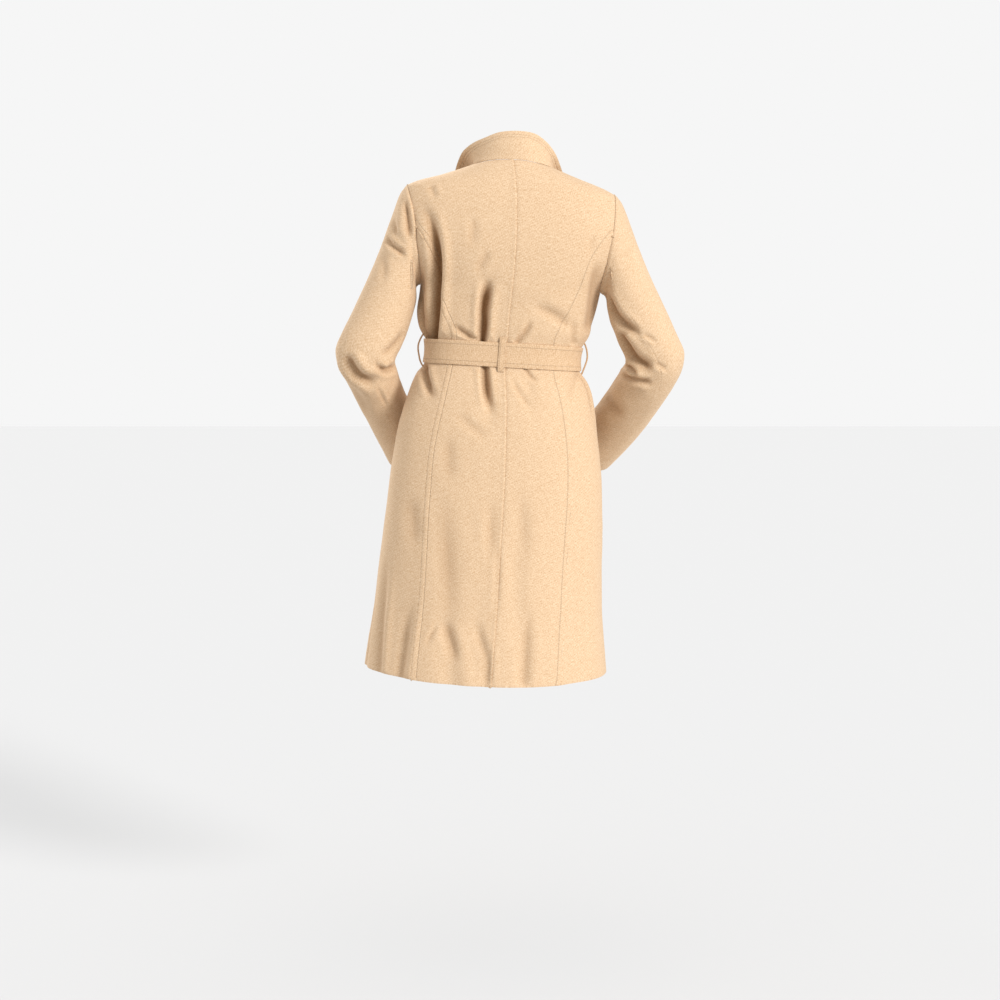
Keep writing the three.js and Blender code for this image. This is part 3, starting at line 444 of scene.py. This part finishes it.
leftSleeveCreases = [
    {"route": [(196, -68), (191, -98), (187, -130), (186, -155)], "width": 6.5, "depth": 8.5,
     "lips": (0.2, 0.45), "fade": (0.3, 0.3)},
    {"route": [(219, -108), (214, -126), (211, -146)], "width": 4.5, "depth": 4, "lips": (0.2, 0.4)},
    {"route": [(232, -146), (222, -160), (208, -171), (190, -184)], "width": 5, "depth": 7.5,
     "lips": (0.3, 0.25), "fade": (0.15, 0.35)},
    {"route": [(243, -170), (235, -202), (238, -240)], "width": 7, "depth": 2.5},
    {"route": [(196, -322), (206, -345), (226, -366), (246, -374)], "width": 7, "depth": 5,
     "lips": (0.3, 0.25)},
    {"route": [(204, -386), (218, -398), (234, -405), (256, -390)], "width": 6, "depth": 8,
     "lips": (0.5, 0.3), "fade": (0.2, 0.4)},
    {"route": [(251, -378), (250, -404)], "width": 2.6, "depth": 1.6},
    {"route": [(311, -368), (301, -392), (281, -418), (246, -431)], "width": 10, "depth": 11,
     "lips": (0.3, 0.5), "fade": (0.25, 0.3)},
    {"route": [(306, -420), (289, -454), (262, -500)], "width": 10, "depth": 4},
    {"route": [(313, -320), (319, -356)], "width": 5, "depth": 2},
    {"route": [(250, -430), (239, -456), (226, -482)], "width": 3.5, "depth": 2.5, "lips": (0.1, 0.6)},
    {"seen": "front", "route": [(178, -96), (190, -132), (199, -168)], "width": 6.5, "depth": 4,
     "lips": (0.25, 0.3), "fade": (0.35, 0.4)},
    {"seen": "front", "route": [(196, -352), (218, -362), (242, -360)], "width": 7, "depth": 4,
     "lips": (0.3, 0.25), "fade": (0.35, 0.35)},
    {"seen": "front", "route": [(203, -400), (222, -412), (244, -412)], "width": 7, "depth": 4,
     "lips": (0.3, 0.3), "fade": (0.35, 0.4)},
]
rightSleeveCreases = [
    {"route": [(-188, -250), (-212, -295), (-237, -319), (-268, -338)], "width": 9, "depth": 11,
     "lips": (0.35, 0.3), "fade": (0.15, 0.25)},
    {"route": [(-266, -331), (-282, -341), (-298, -351)], "width": 4.5, "depth": 3, "lips": (0.5, 0.1)},
    {"route": [(-218, -325), (-229, -350), (-250, -381), (-290, -404)], "width": 10, "depth": 13,
     "lips": (0.35, 0.25), "fade": (0.15, 0.2)},
    {"route": [(-290, -390), (-303, -396), (-318, -403)], "width": 4.5, "depth": 3.5, "lips": (0.5, 0.1)},
    {"route": [(-226, -392), (-240, -398), (-252, -408), (-256, -420)], "width": 5, "depth": 11,
     "lips": (0.4, 0.4), "fade": (0.15, 0.3)},
    {"route": [(-226, -408), (-246, -420), (-288, -429)], "width": 6, "depth": 8, "lips": (0.35, 0.35),
     "fade": (0.2, 0.25)},
    {"route": [(-184, -440), (-206, -470), (-232, -500)], "width": 12, "depth": 5, "lips": (0.2, 0.3)},
    {"route": [(-252, -160), (-238, -178), (-226, -190)], "width": 6, "depth": 1.5},
    {"seen": "front", "route": [(-186, -104), (-200, -140), (-211, -178)], "width": 7, "depth": 4,
     "lips": (0.3, 0.2), "fade": (0.35, 0.4)},
    {"seen": "front", "route": [(-212, -366), (-236, -374), (-262, -370)], "width": 7, "depth": 4,
     "lips": (0.25, 0.3), "fade": (0.35, 0.35)},
    {"seen": "front", "route": [(-216, -410), (-240, -424), (-262, -420)], "width": 7, "depth": 4.5,
     "lips": (0.3, 0.3), "fade": (0.35, 0.4)},
]
knotCreases = [
    {"seen": "front", "route": [(-34, -352), (-14, -360), (2, -370), (12, -386), (15, -404)], "width": 4,
     "depth": 5, "lips": (0.3, 0.3), "fade": (0.1, 0.1)},
    {"seen": "front", "route": [(31, -356), (17, -359), (7, -367)], "width": 4, "depth": 4,
     "lips": (0.3, 0.3), "fade": (0.1, 0.3)},
    {"seen": "front", "route": [(-34, -373), (-17, -377), (-7, -386), (-4, -404)], "width": 4, "depth": 4.5,
     "lips": (0.3, 0.3), "fade": (0.1, 0.1)},
    {"seen": "front", "route": [(-31, -391), (-20, -394), (-14, -403)], "width": 3, "depth": 2.5},
]
tailCreases = [
    {"seen": "front", "route": [(21, -402), (25, -430), (34, -478)], "width": 5, "depth": 3,
     "fade": (0.0, 0.7)},
    {"seen": "front", "route": [(38, -402), (42, -424), (46, -450)], "width": 4, "depth": 2,
     "fade": (0.0, 0.7)},
    {"seen": "front", "route": [(-23, -402), (-27, -440), (-32, -486)], "width": 5, "depth": 3,
     "fade": (0.0, 0.7)},
    {"seen": "front", "route": [(-40, -402), (-43, -426), (-47, -455)], "width": 4, "depth": 2,
     "fade": (0.0, 0.7)},
]
creasesOf = {"upper_sleeve_left": leftSleeveCreases, "under_sleeve_left": leftSleeveCreases,
             "upper_sleeve_right": rightSleeveCreases, "under_sleeve_right": rightSleeveCreases, "collar": [],
             "belt": [], "belt_loop_back": [], "belt_knot": knotCreases, "belt_tail_left": tailCreases,
             "belt_tail_right": tailCreases}

# outward: the way the outer face looks; flat: width and length of the cut in metres, with its area where it
# isn't a rectangle; restsOn: the pieces that it is sewn to or lies on
clothPieces = {
    "back_left": {"outward": (0, 1, 0), "levels": 3, "flat": (0.218, 1.06), "area": 0.160,
                  "restsOn": ("back_right", "side_back_left", "collar")},
    "back_right": {"outward": (0, 1, 0), "levels": 3, "flat": (0.2, 1.065), "area": 0.1455,
                   "restsOn": ("back_left", "side_back_right", "collar")},
    "side_back_left": {"outward": (1, 0.3, 0), "levels": 3, "flat": (0.177, 0.878), "area": 0.105,
                       "restsOn": ("back_left", "side_front_left")},
    "side_back_right": {"outward": (-1, 0.3, 0), "levels": 3, "flat": (0.177, 0.88), "area": 0.0985,
                        "restsOn": ("back_right", "side_front_right")},
    "side_front_left": {"outward": (1, -0.3, 0), "levels": 3, "flat": (0.176, 0.873), "area": 0.106,
                        "restsOn": ("side_back_left", "front_left")},
    "side_front_right": {"outward": (-1, -0.3, 0), "levels": 3, "flat": (0.176, 0.872), "area": 0.1005,
                         "restsOn": ("side_back_right", "front_right")},
    "front_left": {"outward": (0, -1, 0), "levels": 3, "flat": (0.301, 1.041), "area": 0.1945,
                   "restsOn": ("side_front_left", "collar")},
    "front_right": {"outward": (0, -1, 0), "levels": 3, "flat": (0.278, 1.045), "area": 0.1815,
                    "restsOn": ("side_front_right", "collar")},
    "upper_sleeve_left": {"outward": (1, 0, 0), "levels": 3, "flat": (0.321, 0.658), "area": 0.1325,
                          "restsOn": ("under_sleeve_left", "back_left")},
    "upper_sleeve_right": {"outward": (-1, 0, 0), "levels": 3, "flat": (0.299, 0.638), "area": 0.125,
                           "restsOn": ("under_sleeve_right", "back_right")},
    "under_sleeve_left": {"outward": (-1, 0, 0), "levels": 3, "flat": (0.216, 0.485), "area": 0.0535,
                          "restsOn": ("upper_sleeve_left", "side_back_left")},
    "under_sleeve_right": {"outward": (1, 0, 0), "levels": 3, "flat": (0.272, 0.465), "area": 0.056,
                           "restsOn": ("upper_sleeve_right", "side_back_right")},
    "collar": {"outward": (0, 1, 0), "levels": 3, "flat": (0.42, 0.16), "area": 0.0285, "held": "folded",
               "restsOn": ("back_left", "back_right", "front_left", "front_right"),
               "material": collarMaterial,
               "lines": (8, 13)},
}
beltPieces = {
    "belt": {"outward": (0, 1, 0), "levels": 3, "flat": (0.72, 0.0475), "held": "stretched", "wall": 3.0,
             "restsOn": ("back_left", "back_right", "belt_knot"), "material": beltMaterial, "lines": (7.5,)},
    "belt_knot": {"outward": (0, -1, 0), "levels": 3, "openTowards": (0, 1, 0), "flat": (0.09, 0.07),
                  "held": "folded", "wall": 3.0, "restsOn": ("belt",), "material": beltMaterial},
    "belt_tail_left": {"outward": (0, -1, 0), "levels": 3, "flat": (0.0475, 0.235), "wall": 3.0,
                       "restsOn": ("belt_knot", "front_left"), "material": beltMaterial, "lines": (7.5,)},
    "belt_tail_right": {"outward": (0, -1, 0), "levels": 3, "flat": (0.0475, 0.265), "wall": 3.0,
                        "restsOn": ("belt_knot", "front_right"), "material": beltMaterial, "lines": (7.5,)},
    "belt_loop_back": {"outward": (0, 1, 0), "levels": 2, "openTowards": (0, -1, 0), "flat": (0.013, 0.07),
                       "held": "stretched", "wall": 1.4,
                       "restsOn": ("belt", "back_right"), "material": narrowMaterial, "lines": (2.2,)},
}
cloth = {
    "wall": 2.2,  # mm
    "waves": ((70, 1.0), (24, 0.4)),  # mm between the unevennesses of the cloth, and their height
    "turnIn": 0.9,  # mm that an edge rolls in
    "turnInReach": 1.3,  # mm over which it does
    "deepest": 15,  # mm of crease at which the painted crease shade is at its darkest
    # rows of faces along an edge: mm that each reaches in, the share of the room there that it may take,
    # and mm that the edge goes under its neighbour, so that no seam gapes
    "rims": ((2.8, 0.6, 0.0), (1.2, 0.28, 0.2)),
    "rimRoom": 12,  # mm on either side over which the room is looked for
    "corner": 130,  # degrees; an edge that turns more sharply than this has a corner there
    "joined": 4,  # mm apart at most, for edges that are drawn together
    "meeting": 2.5,  # mm apart at most, for edges that share a seam
    "offSeam": 60.0,  # mm that stands for a place with no topstitching near
    "beltZone": (-0.45, -0.3),  # m, the heights at which the belt may press the cloth
    "underBelt": 0.0015,  # m kept free between the cloth and the belt
    "underBeltShare": 0.3,  # how much of the rest a fold may take up
}

beltSolid = bmesh.new()
beltSolid.from_mesh(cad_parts["belt"].data)
beltTree = BVHTree.FromBMesh(beltSolid)
beltSolid.free()


def foldedPiece(name, settings):
    piece = meshObject(name + "_cloth", outerSheet(name, settings["outward"], settings.get("openTowards")))
    width, length = flattened(piece)
    area = sum(f.area for f in piece.data.polygons)
    print(f"{name}: lies flat in {width:.3f} by {length:.3f} m, {area:.4f} m2")
    smooth = piece.modifiers.new("smooth", "SUBSURF")
    smooth.levels = smooth.render_levels = settings["levels"]
    smooth.boundary_smooth = "ALL"
    applied(piece)
    points = coordinates(piece)
    normals = vertexNormals(piece)
    relief = numpy.zeros(len(points))
    for crease in creasesOf.get(name, bodyCreases):
        relief += creaseRelief(points, normals, crease)
    # painted shade: how deep each point lies in its crease, kept on the piece for darkening its colour there
    paintedCreaseShade = numpy.clip(-relief / cloth["deepest"], 0, 1)
    layer = piece.data.attributes.new("paintedCreaseShade", "FLOAT", "POINT")
    layer.data.foreach_set("value", paintedCreaseShade)
    for length, height in cloth["waves"]:
        relief += [height * noise.noise(Vector(p) * 1000 / length) for p in points]
    amount = relief / 1000
    if name.startswith(("back", "side", "front")):
        for k, p in enumerate(points):
            if cloth["beltZone"][0] < p[2] < cloth["beltZone"][1]:
                gap = beltTree.find_nearest(Vector(p))[3]
                amount[k] = min(amount[k], (gap - cloth["underBelt"]) * cloth["underBeltShare"])
    moveAlong(piece, normals, amount)
    return piece


def boundaryPoints(piece, lengthwise=False):
    # points close together along the open edges of a piece, or only along the long ones of a level strip
    edged = bmesh.new()
    edged.from_mesh(piece.data)
    rims = [(e.verts[0].co, e.verts[1].co) for e in edged.edges if e.is_boundary]
    rims = [(a, b) for a, b in rims if not lengthwise or abs(a.z - b.z) < 0.6 * (a - b).length]
    found = [a.lerp(b, k / 5) for a, b in rims for k in range(5)]
    edged.free()
    return found


def treeOf(points):
    tree = KDTree(len(points))
    for k, point in enumerate(points):
        tree.insert(point, k)
    tree.balance()
    return tree


coat = {name: foldedPiece(name, settings) for name, settings in clothPieces.items()}
straps = {name: foldedPiece(name, settings) for name, settings in beltPieces.items()}
print("cloth pieces folded")


def drawnTogether(share, straighten):
    # bring the pieces together at their seams, and straighten the seams a little each time
    trees = {name: treeOf(boundaryPoints(piece)) for name, piece in coat.items()}
    for name, piece in coat.items():
        edged = bmesh.new()
        edged.from_mesh(piece.data)
        moves = {}
        for vert in edged.verts:
            if not vert.is_boundary:
                continue
            found = [trees[other].find(vert.co) for other in coat if other != name]
            spot, _, gap = min(found, key=lambda f: f[2])
            target = vert.co.lerp(spot, share) if gap < cloth["joined"] / 1000 else vert.co.copy()
            beside = [e.other_vert(vert).co for e in vert.link_edges if e.is_boundary]
            straight = math.radians(cloth["corner"])
            if len(beside) == 2 and (beside[0] - vert.co).angle(beside[1] - vert.co) > straight:
                target = target.lerp((beside[0] + beside[1]) / 2, straighten)
            moves[vert] = target
        for vert, target in moves.items():
            vert.co = target
        edged.to_mesh(piece.data)
        edged.free()


for share, straighten in 4 * [(0.5, 0.5)] + [(0.5, 0.3), (0.48, 0.0)]:
    drawnTogether(share, straighten)
edges = {name: boundaryPoints(piece) for name, piece in {**coat, **straps}.items()}
edgeTrees = {name: treeOf(points) for name, points in edges.items()}

# what the seams do to the cloth beside them: rise in mm, over a strip so many mm wide
armhole = ("back", "side_back", "side_front", "front")
sleeve = ("upper_sleeve", "under_sleeve")
seams = [
    {"piece": "back_left", "meets": ("back_right",), "rise": 0.8, "strip": 5},
    {"piece": "back_right", "meets": ("back_left",), "rise": -0.4, "strip": 4},
    {"piece": "back_left", "meets": ("side_back_left",), "rise": 0.7, "strip": 9, "stitched": True},
    {"piece": "back_right", "meets": ("side_back_right",), "rise": 0.2, "strip": 9, "stitched": True,
     "turnIn": 0.2},
    {"piece": "side_back_right", "meets": ("back_right",), "rise": 0, "strip": 9, "turnIn": 0.2},
    {"piece": "front_left", "meets": ("side_front_left",), "rise": 0.6, "strip": 9, "stitched": True},
    {"piece": "front_right", "meets": ("side_front_right",), "rise": 0.6, "strip": 9, "stitched": True},
]
for side in ("_left", "_right"):
    for part in sleeve:
        seams.append({"piece": part + side, "meets": tuple(a + side for a in armhole), "rise": 1.2,
                      "strip": 7})
    for part in ("back", "front"):
        seams.append({"piece": part + side, "meets": ("collar",), "rise": -0.3, "strip": 4})
seams.append({"piece": "collar", "meets": ("back_left", "back_right", "front_left", "front_right"),
              "rise": 0.8, "strip": 5})


# sewing thread: one stitch after another, and the twisted loops at the sides
thread = {
    "colour": "#c6a682",
    "stitch": 3.0,  # mm long
    "pitch": 4.0,  # mm from one stitch to the next
    "width": 0.75,  # mm
    "height": 0.35,  # mm
    "twist": 2.4,  # mm between the turns of the thread
}


def threadMaterial(name, settings):
    made = bpy.data.materials.new(name)
    made.use_nodes = True
    tree = made.node_tree
    shader = tree.nodes["Principled BSDF"]
    place = node(tree, "ShaderNodeTexCoord").outputs["Object"]
    strands = node(tree, "ShaderNodeTexNoise", {
        "Vector": place, "Scale": 1000 / settings["twist"], "Detail": 2.0,
    }).outputs["Fac"]
    dark = [v * 0.72 for v in linear(settings["colour"])[:3]] + [1]
    colour = node(tree, "ShaderNodeMix", {0: strands, 6: dark, 7: linear(settings["colour"])},
                  data_type="RGBA")
    tree.links.new(colour.outputs[2], shader.inputs["Base Color"])
    bump = node(tree, "ShaderNodeBump", {"Height": strands, "Strength": 0.5, "Distance": 0.0002}).outputs[0]
    tree.links.new(bump, shader.inputs["Normal"])
    shader.inputs["Roughness"].default_value = 0.75
    shader.inputs["Sheen Weight"].default_value = 0.15
    return made


# woollen-look thread of the topstitching, near the colour of the cloth
stitchMaterial = threadMaterial("topstitchThread", thread)
# the same thread, worked into cords for the loops that hold the belt at the sides
loopMaterial = threadMaterial("loopThread", dict(thread, colour="#c9a47c", twist=1.4))


def levelRoutes(piece, values, level):
    # the lines on the piece along which the value reaches the level
    mesh = bmesh.new()
    mesh.from_mesh(piece.data)
    crossing = {}
    for edge in mesh.edges:
        a, b = edge.verts
        low, high = values[a.index] - level, values[b.index] - level
        if low * high < 0:
            t = low / (low - high)
            crossing[edge] = (a.co.lerp(b.co, t), a.normal.lerp(b.normal, t))
    beside = {edge: [] for edge in crossing}
    for face in mesh.faces:
        cut = [e for e in face.edges if e in crossing]
        if len(cut) == 2:
            beside[cut[0]].append(cut[1])
            beside[cut[1]].append(cut[0])
    routes = []
    left = set(crossing)
    for start in sorted(crossing, key=lambda e: (len(beside[e]), e.index)):
        if start not in left:
            continue
        route = [start]
        left.discard(start)
        onward = beside[start][:1]
        while onward:
            route.append(onward[0])
            left.discard(onward[0])
            onward = [e for e in beside[route[-1]] if e in left]
        routes.append([crossing[e] for e in route])
    mesh.free()
    return routes


def stitched(name, routes):
    # one piece holding the short stitches along all the routes
    whole = bmesh.new()
    runs = [route[k : k + 31] for route in routes for k in range(0, len(route) - 1, 30)]
    due = thread["pitch"] / 2000
    for route in runs:
        line = bmesh.new()
        for (a, up), (b, _) in zip(route, route[1:]):
            run = (b - a).length
            while due < run:
                along = (b - a).normalized()
                across = up.cross(along).normalized()
                turned = Matrix((along, across, along.cross(across))).transposed().to_4x4()
                size = Matrix.Diagonal((thread["stitch"] / 2000, thread["width"] / 2000,
                                        thread["height"] / 1000, 1))
                spot = Matrix.Translation(a + along * due - along.cross(across) * 0.0001)
                bmesh.ops.create_uvsphere(
                    line, u_segments=6, v_segments=4, radius=1, matrix=spot @ turned @ size
                )
                due += thread["pitch"] / 1000
            due -= run
        data = bpy.data.meshes.new("line")
        line.to_mesh(data)
        line.free()
        whole.from_mesh(data)
        bpy.data.meshes.remove(data)
    made = meshObject(name + "_topstitching", whole)
    for face in made.data.polygons:
        face.use_smooth = True
    made.data.materials.append(stitchMaterial)
    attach(made, "root")
    return made


def rimmed(piece):
    # two even rows of faces along the open edges, for the roll of the cloth there
    edged = bmesh.new()
    edged.from_mesh(piece.data)
    room = []
    for vert in edged.verts:
        inwards = [e.calc_length() for e in vert.link_edges if not e.is_boundary]
        if vert.is_boundary and inwards:
            room.append((vert.co.copy(), min(inwards)))
    rooms = treeOf([place for place, _ in room])
    for depth, share, under in cloth["rims"]:
        reach = depth / 1000
        bmesh.ops.inset_region(
            edged, faces=edged.faces[:], thickness=reach, use_boundary=True, use_even_offset=False
        )
        inward = {}
        for vert in edged.verts:
            across = [e.other_vert(vert) for e in vert.link_edges if not e.is_boundary]
            if vert.is_boundary and len(across) == 1:
                inward[vert] = across[0]
        ways = {vert: (inner.co - vert.co).normalized() for vert, inner in inward.items()}
        for vert, inner in inward.items():
            nearby = [room[k][1] for _, k, _ in rooms.find_range(vert.co, cloth["rimRoom"] / 1000)] or [reach]
            step = min(reach, share * min(nearby))
            beside = [e.other_vert(vert) for e in vert.link_edges if e.is_boundary]
            way = ways[vert]
            even = len(beside) == 2 and all(b in ways for b in beside)
            straight = math.radians(cloth["corner"])
            if even and (beside[0].co - vert.co).angle(beside[1].co - vert.co) > straight:
                along = (beside[0].co - beside[1].co).normalized()
                way = ways[vert] + ways[beside[0]] + ways[beside[1]]
                way = (way - along * way.dot(along)).normalized()
            inner.co = vert.co + way * step
            vert.co -= way * under / 1000
    for edge in edged.edges:
        edge.smooth = not edge.is_boundary
    edged.to_mesh(piece.data)
    edged.free()


def finishedPiece(name, piece, settings):
    rimmed(piece)
    points = coordinates(piece)
    normals = vertexNormals(piece)
    own = edgeTrees[name]
    fromEdge = numpy.array([own.find(Vector(p))[2] * 1000 for p in points])
    turnIn = numpy.full(len(points), cloth["turnIn"])
    stitchDistance = numpy.full(len(points), cloth["offSeam"])
    amount = numpy.zeros(len(points))
    for seam in seams:
        if seam["piece"] != name:
            continue
        shared = []
        for point in edges[name]:
            if min(edgeTrees[other].find(point)[2] for other in seam["meets"]) < cloth["meeting"] / 1000:
                shared.append(point)
        if not shared:
            continue
        tree = treeOf(shared)
        away = numpy.array([tree.find(Vector(p))[2] * 1000 for p in points])
        amount += seam["rise"] * (1 - softStep(away, seam["strip"] * 0.6, seam["strip"] * 1.4))
        if "turnIn" in seam:
            turnIn = numpy.where(away < 4, seam["turnIn"], turnIn)
        if seam.get("stitched"):
            stitchDistance = numpy.minimum(stitchDistance, away)
    amount -= turnIn * numpy.exp(-fromEdge / cloth["turnInReach"])
    if name == "collar":
        lower = treeOf([p for p in edges[name] if min(
            edgeTrees[o].find(p)[2]
            for o in ("back_left", "back_right", "front_left", "front_right")) < 0.004])
        rim = treeOf([p for p in edges[name] if lower.find(p)[2] > 0.012])
        stitchDistance = numpy.array([rim.find(Vector(p))[2] * 1000 for p in points])
    elif name in beltPieces:
        rim = treeOf(boundaryPoints(piece, name == "belt"))
        stitchDistance = numpy.array([rim.find(Vector(p))[2] * 1000 for p in points])
    moveAlong(piece, normals, amount / 1000)
    layer = piece.data.attributes.new("stitchDistance", "FLOAT", "POINT")
    layer.data.foreach_set("value", stitchDistance)
    for face in piece.data.polygons:
        face.use_smooth = True
    routes = []
    for line in settings.get("lines", (10,)):
        routes += levelRoutes(piece, stitchDistance, line)
    stitches = [stitched(name, routes)] if routes and name != "belt_knot" else []
    shell = piece.modifiers.new("wall", "SOLIDIFY")
    shell.thickness = settings.get("wall", cloth["wall"]) / 1000
    shell.offset = -1
    piece.data.materials.append(settings.get("material", coatMaterial))
    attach(piece, "root")
    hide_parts(name)


for name, piece in coat.items():
    finishedPiece(name, piece, clothPieces[name])
print("coat finished")
for name, piece in straps.items():
    finishedPiece(name, piece, beltPieces[name])
print("belt finished")

# the way each loop goes from its upper to its lower end, in mm as (x, z), level with the side seams
threadLoops = {
    "belt_loop_left": [(155, -331), (160, -335), (165, -344), (168.5, -354), (169, -364), (167.5, -374),
                       (165.5, -384), (161, -394), (156, -398)],
    "belt_loop_right": [(-150, -349), (-155, -353), (-158.5, -363), (-160, -373), (-159.5, -383),
                        (-156.5, -393), (-153, -402), (-149, -411.5), (-144, -415)],
}
loopCord = {"strands": 3, "strand": 0.95, "lay": 0.85, "turn": 8}  # strand and lay are radii, all in mm


def threadLoop(name, route):
    path = smoothRoute(route, 10)
    drawn = bpy.data.curves.new(name + "_cord", "CURVE")
    drawn.dimensions = "3D"
    drawn.bevel_depth = loopCord["strand"] / 1000
    drawn.bevel_resolution = 1
    drawn.use_fill_caps = True
    for strand in range(loopCord["strands"]):
        spline = drawn.splines.new("POLY")
        spline.points.add(len(path) - 1)
        walked = 0.0
        for k, spot in enumerate(path):
            ahead = path[min(k + 1, len(path) - 1)] - path[max(k - 1, 0)]
            across = numpy.array([-ahead[1], ahead[0]]) / numpy.linalg.norm(ahead)
            turn = 2 * math.pi * (walked / loopCord["turn"] + strand / loopCord["strands"])
            x, z = spot + across * loopCord["lay"] * math.cos(turn)
            spline.points[k].co = (x / 1000, loopCord["lay"] * math.sin(turn) / 1000, z / 1000, 1)
            walked += numpy.linalg.norm(ahead) / 2
    shape = bpy.data.objects.new(name + "_curve", drawn)
    bpy.context.scene.collection.objects.link(shape)
    graph = bpy.context.evaluated_depsgraph_get()
    data = bpy.data.meshes.new_from_object(shape.evaluated_get(graph))
    bpy.data.objects.remove(shape)
    made = bpy.data.objects.new(name + "_cord", data)
    bpy.context.scene.collection.objects.link(made)
    for face in data.polygons:
        face.use_smooth = True
    data.materials.clear()
    data.materials.append(loopMaterial)
    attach(made, "root")
    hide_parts(name)


for name, route in threadLoops.items():
    threadLoop(name, route)
print("thread loops made")

studio = {"floor": "#c9c9c9", "floorLevel": -1.545, "backdrop": "#f6f6f6"}

floorMesh = bmesh.new()
bmesh.ops.create_grid(floorMesh, x_segments=1, y_segments=1, size=30)
floor = meshObject("floor", floorMesh)
floor.data.transform(Matrix.Translation((0, 0, studio["floorLevel"])))
floorPaint = bpy.data.materials.new("paintedFloor")
floorPaint.use_nodes = True
floorPaint.node_tree.nodes["Principled BSDF"].inputs["Base Color"].default_value = linear(studio["floor"])
floorPaint.node_tree.nodes["Principled BSDF"].inputs["Roughness"].default_value = 0.9
floorPaint.node_tree.nodes["Principled BSDF"].inputs["Specular IOR Level"].default_value = 0.0
floor.data.materials.append(floorPaint)

world = bpy.data.worlds.new("studio")
world.use_nodes = True
world.node_tree.nodes["Background"].inputs["Color"].default_value = linear(studio["backdrop"])
world.node_tree.nodes["Background"].inputs["Strength"].default_value = 1.0
bpy.context.scene.world = world


def softLight(name, towards, spread, power, colour):
    # a far, wide light, so that coat and floor are lit evenly
    lamp = bpy.data.lights.new(name, "SUN")
    lamp.angle = math.radians(spread)
    lamp.energy = power
    lamp.color = linear(colour)[:3]
    made = bpy.data.objects.new(name, lamp)
    made.location = (0, 0, 3)
    made.rotation_euler = Vector(towards).to_track_quat("-Z", "Y").to_euler()
    bpy.context.scene.collection.objects.link(made)


softLight("key", (2.6, -2.8, -1.3), 18, 3.2, "#ffffff")
softLight("edge", (-2.6, 0.2, -0.7), 30, 0.75, "#ffffff")
softLight("front", (-1.8, 3.0, -1.6), 25, 1.5, "#ffffff")

camera = bpy.data.cameras.new("camera")
camera.lens = 79.4
camera.sensor_width = 36
viewer = bpy.data.objects.new("camera", camera)
viewer.location = viewpoint
sight = Vector((viewpoint[0], 0, -0.657)) - viewer.location
viewer.rotation_euler = sight.to_track_quat("-Z", "Y").to_euler()
bpy.context.scene.collection.objects.link(viewer)
bpy.context.scene.camera = viewer
bpy.context.scene.view_settings.view_transform = "Standard"
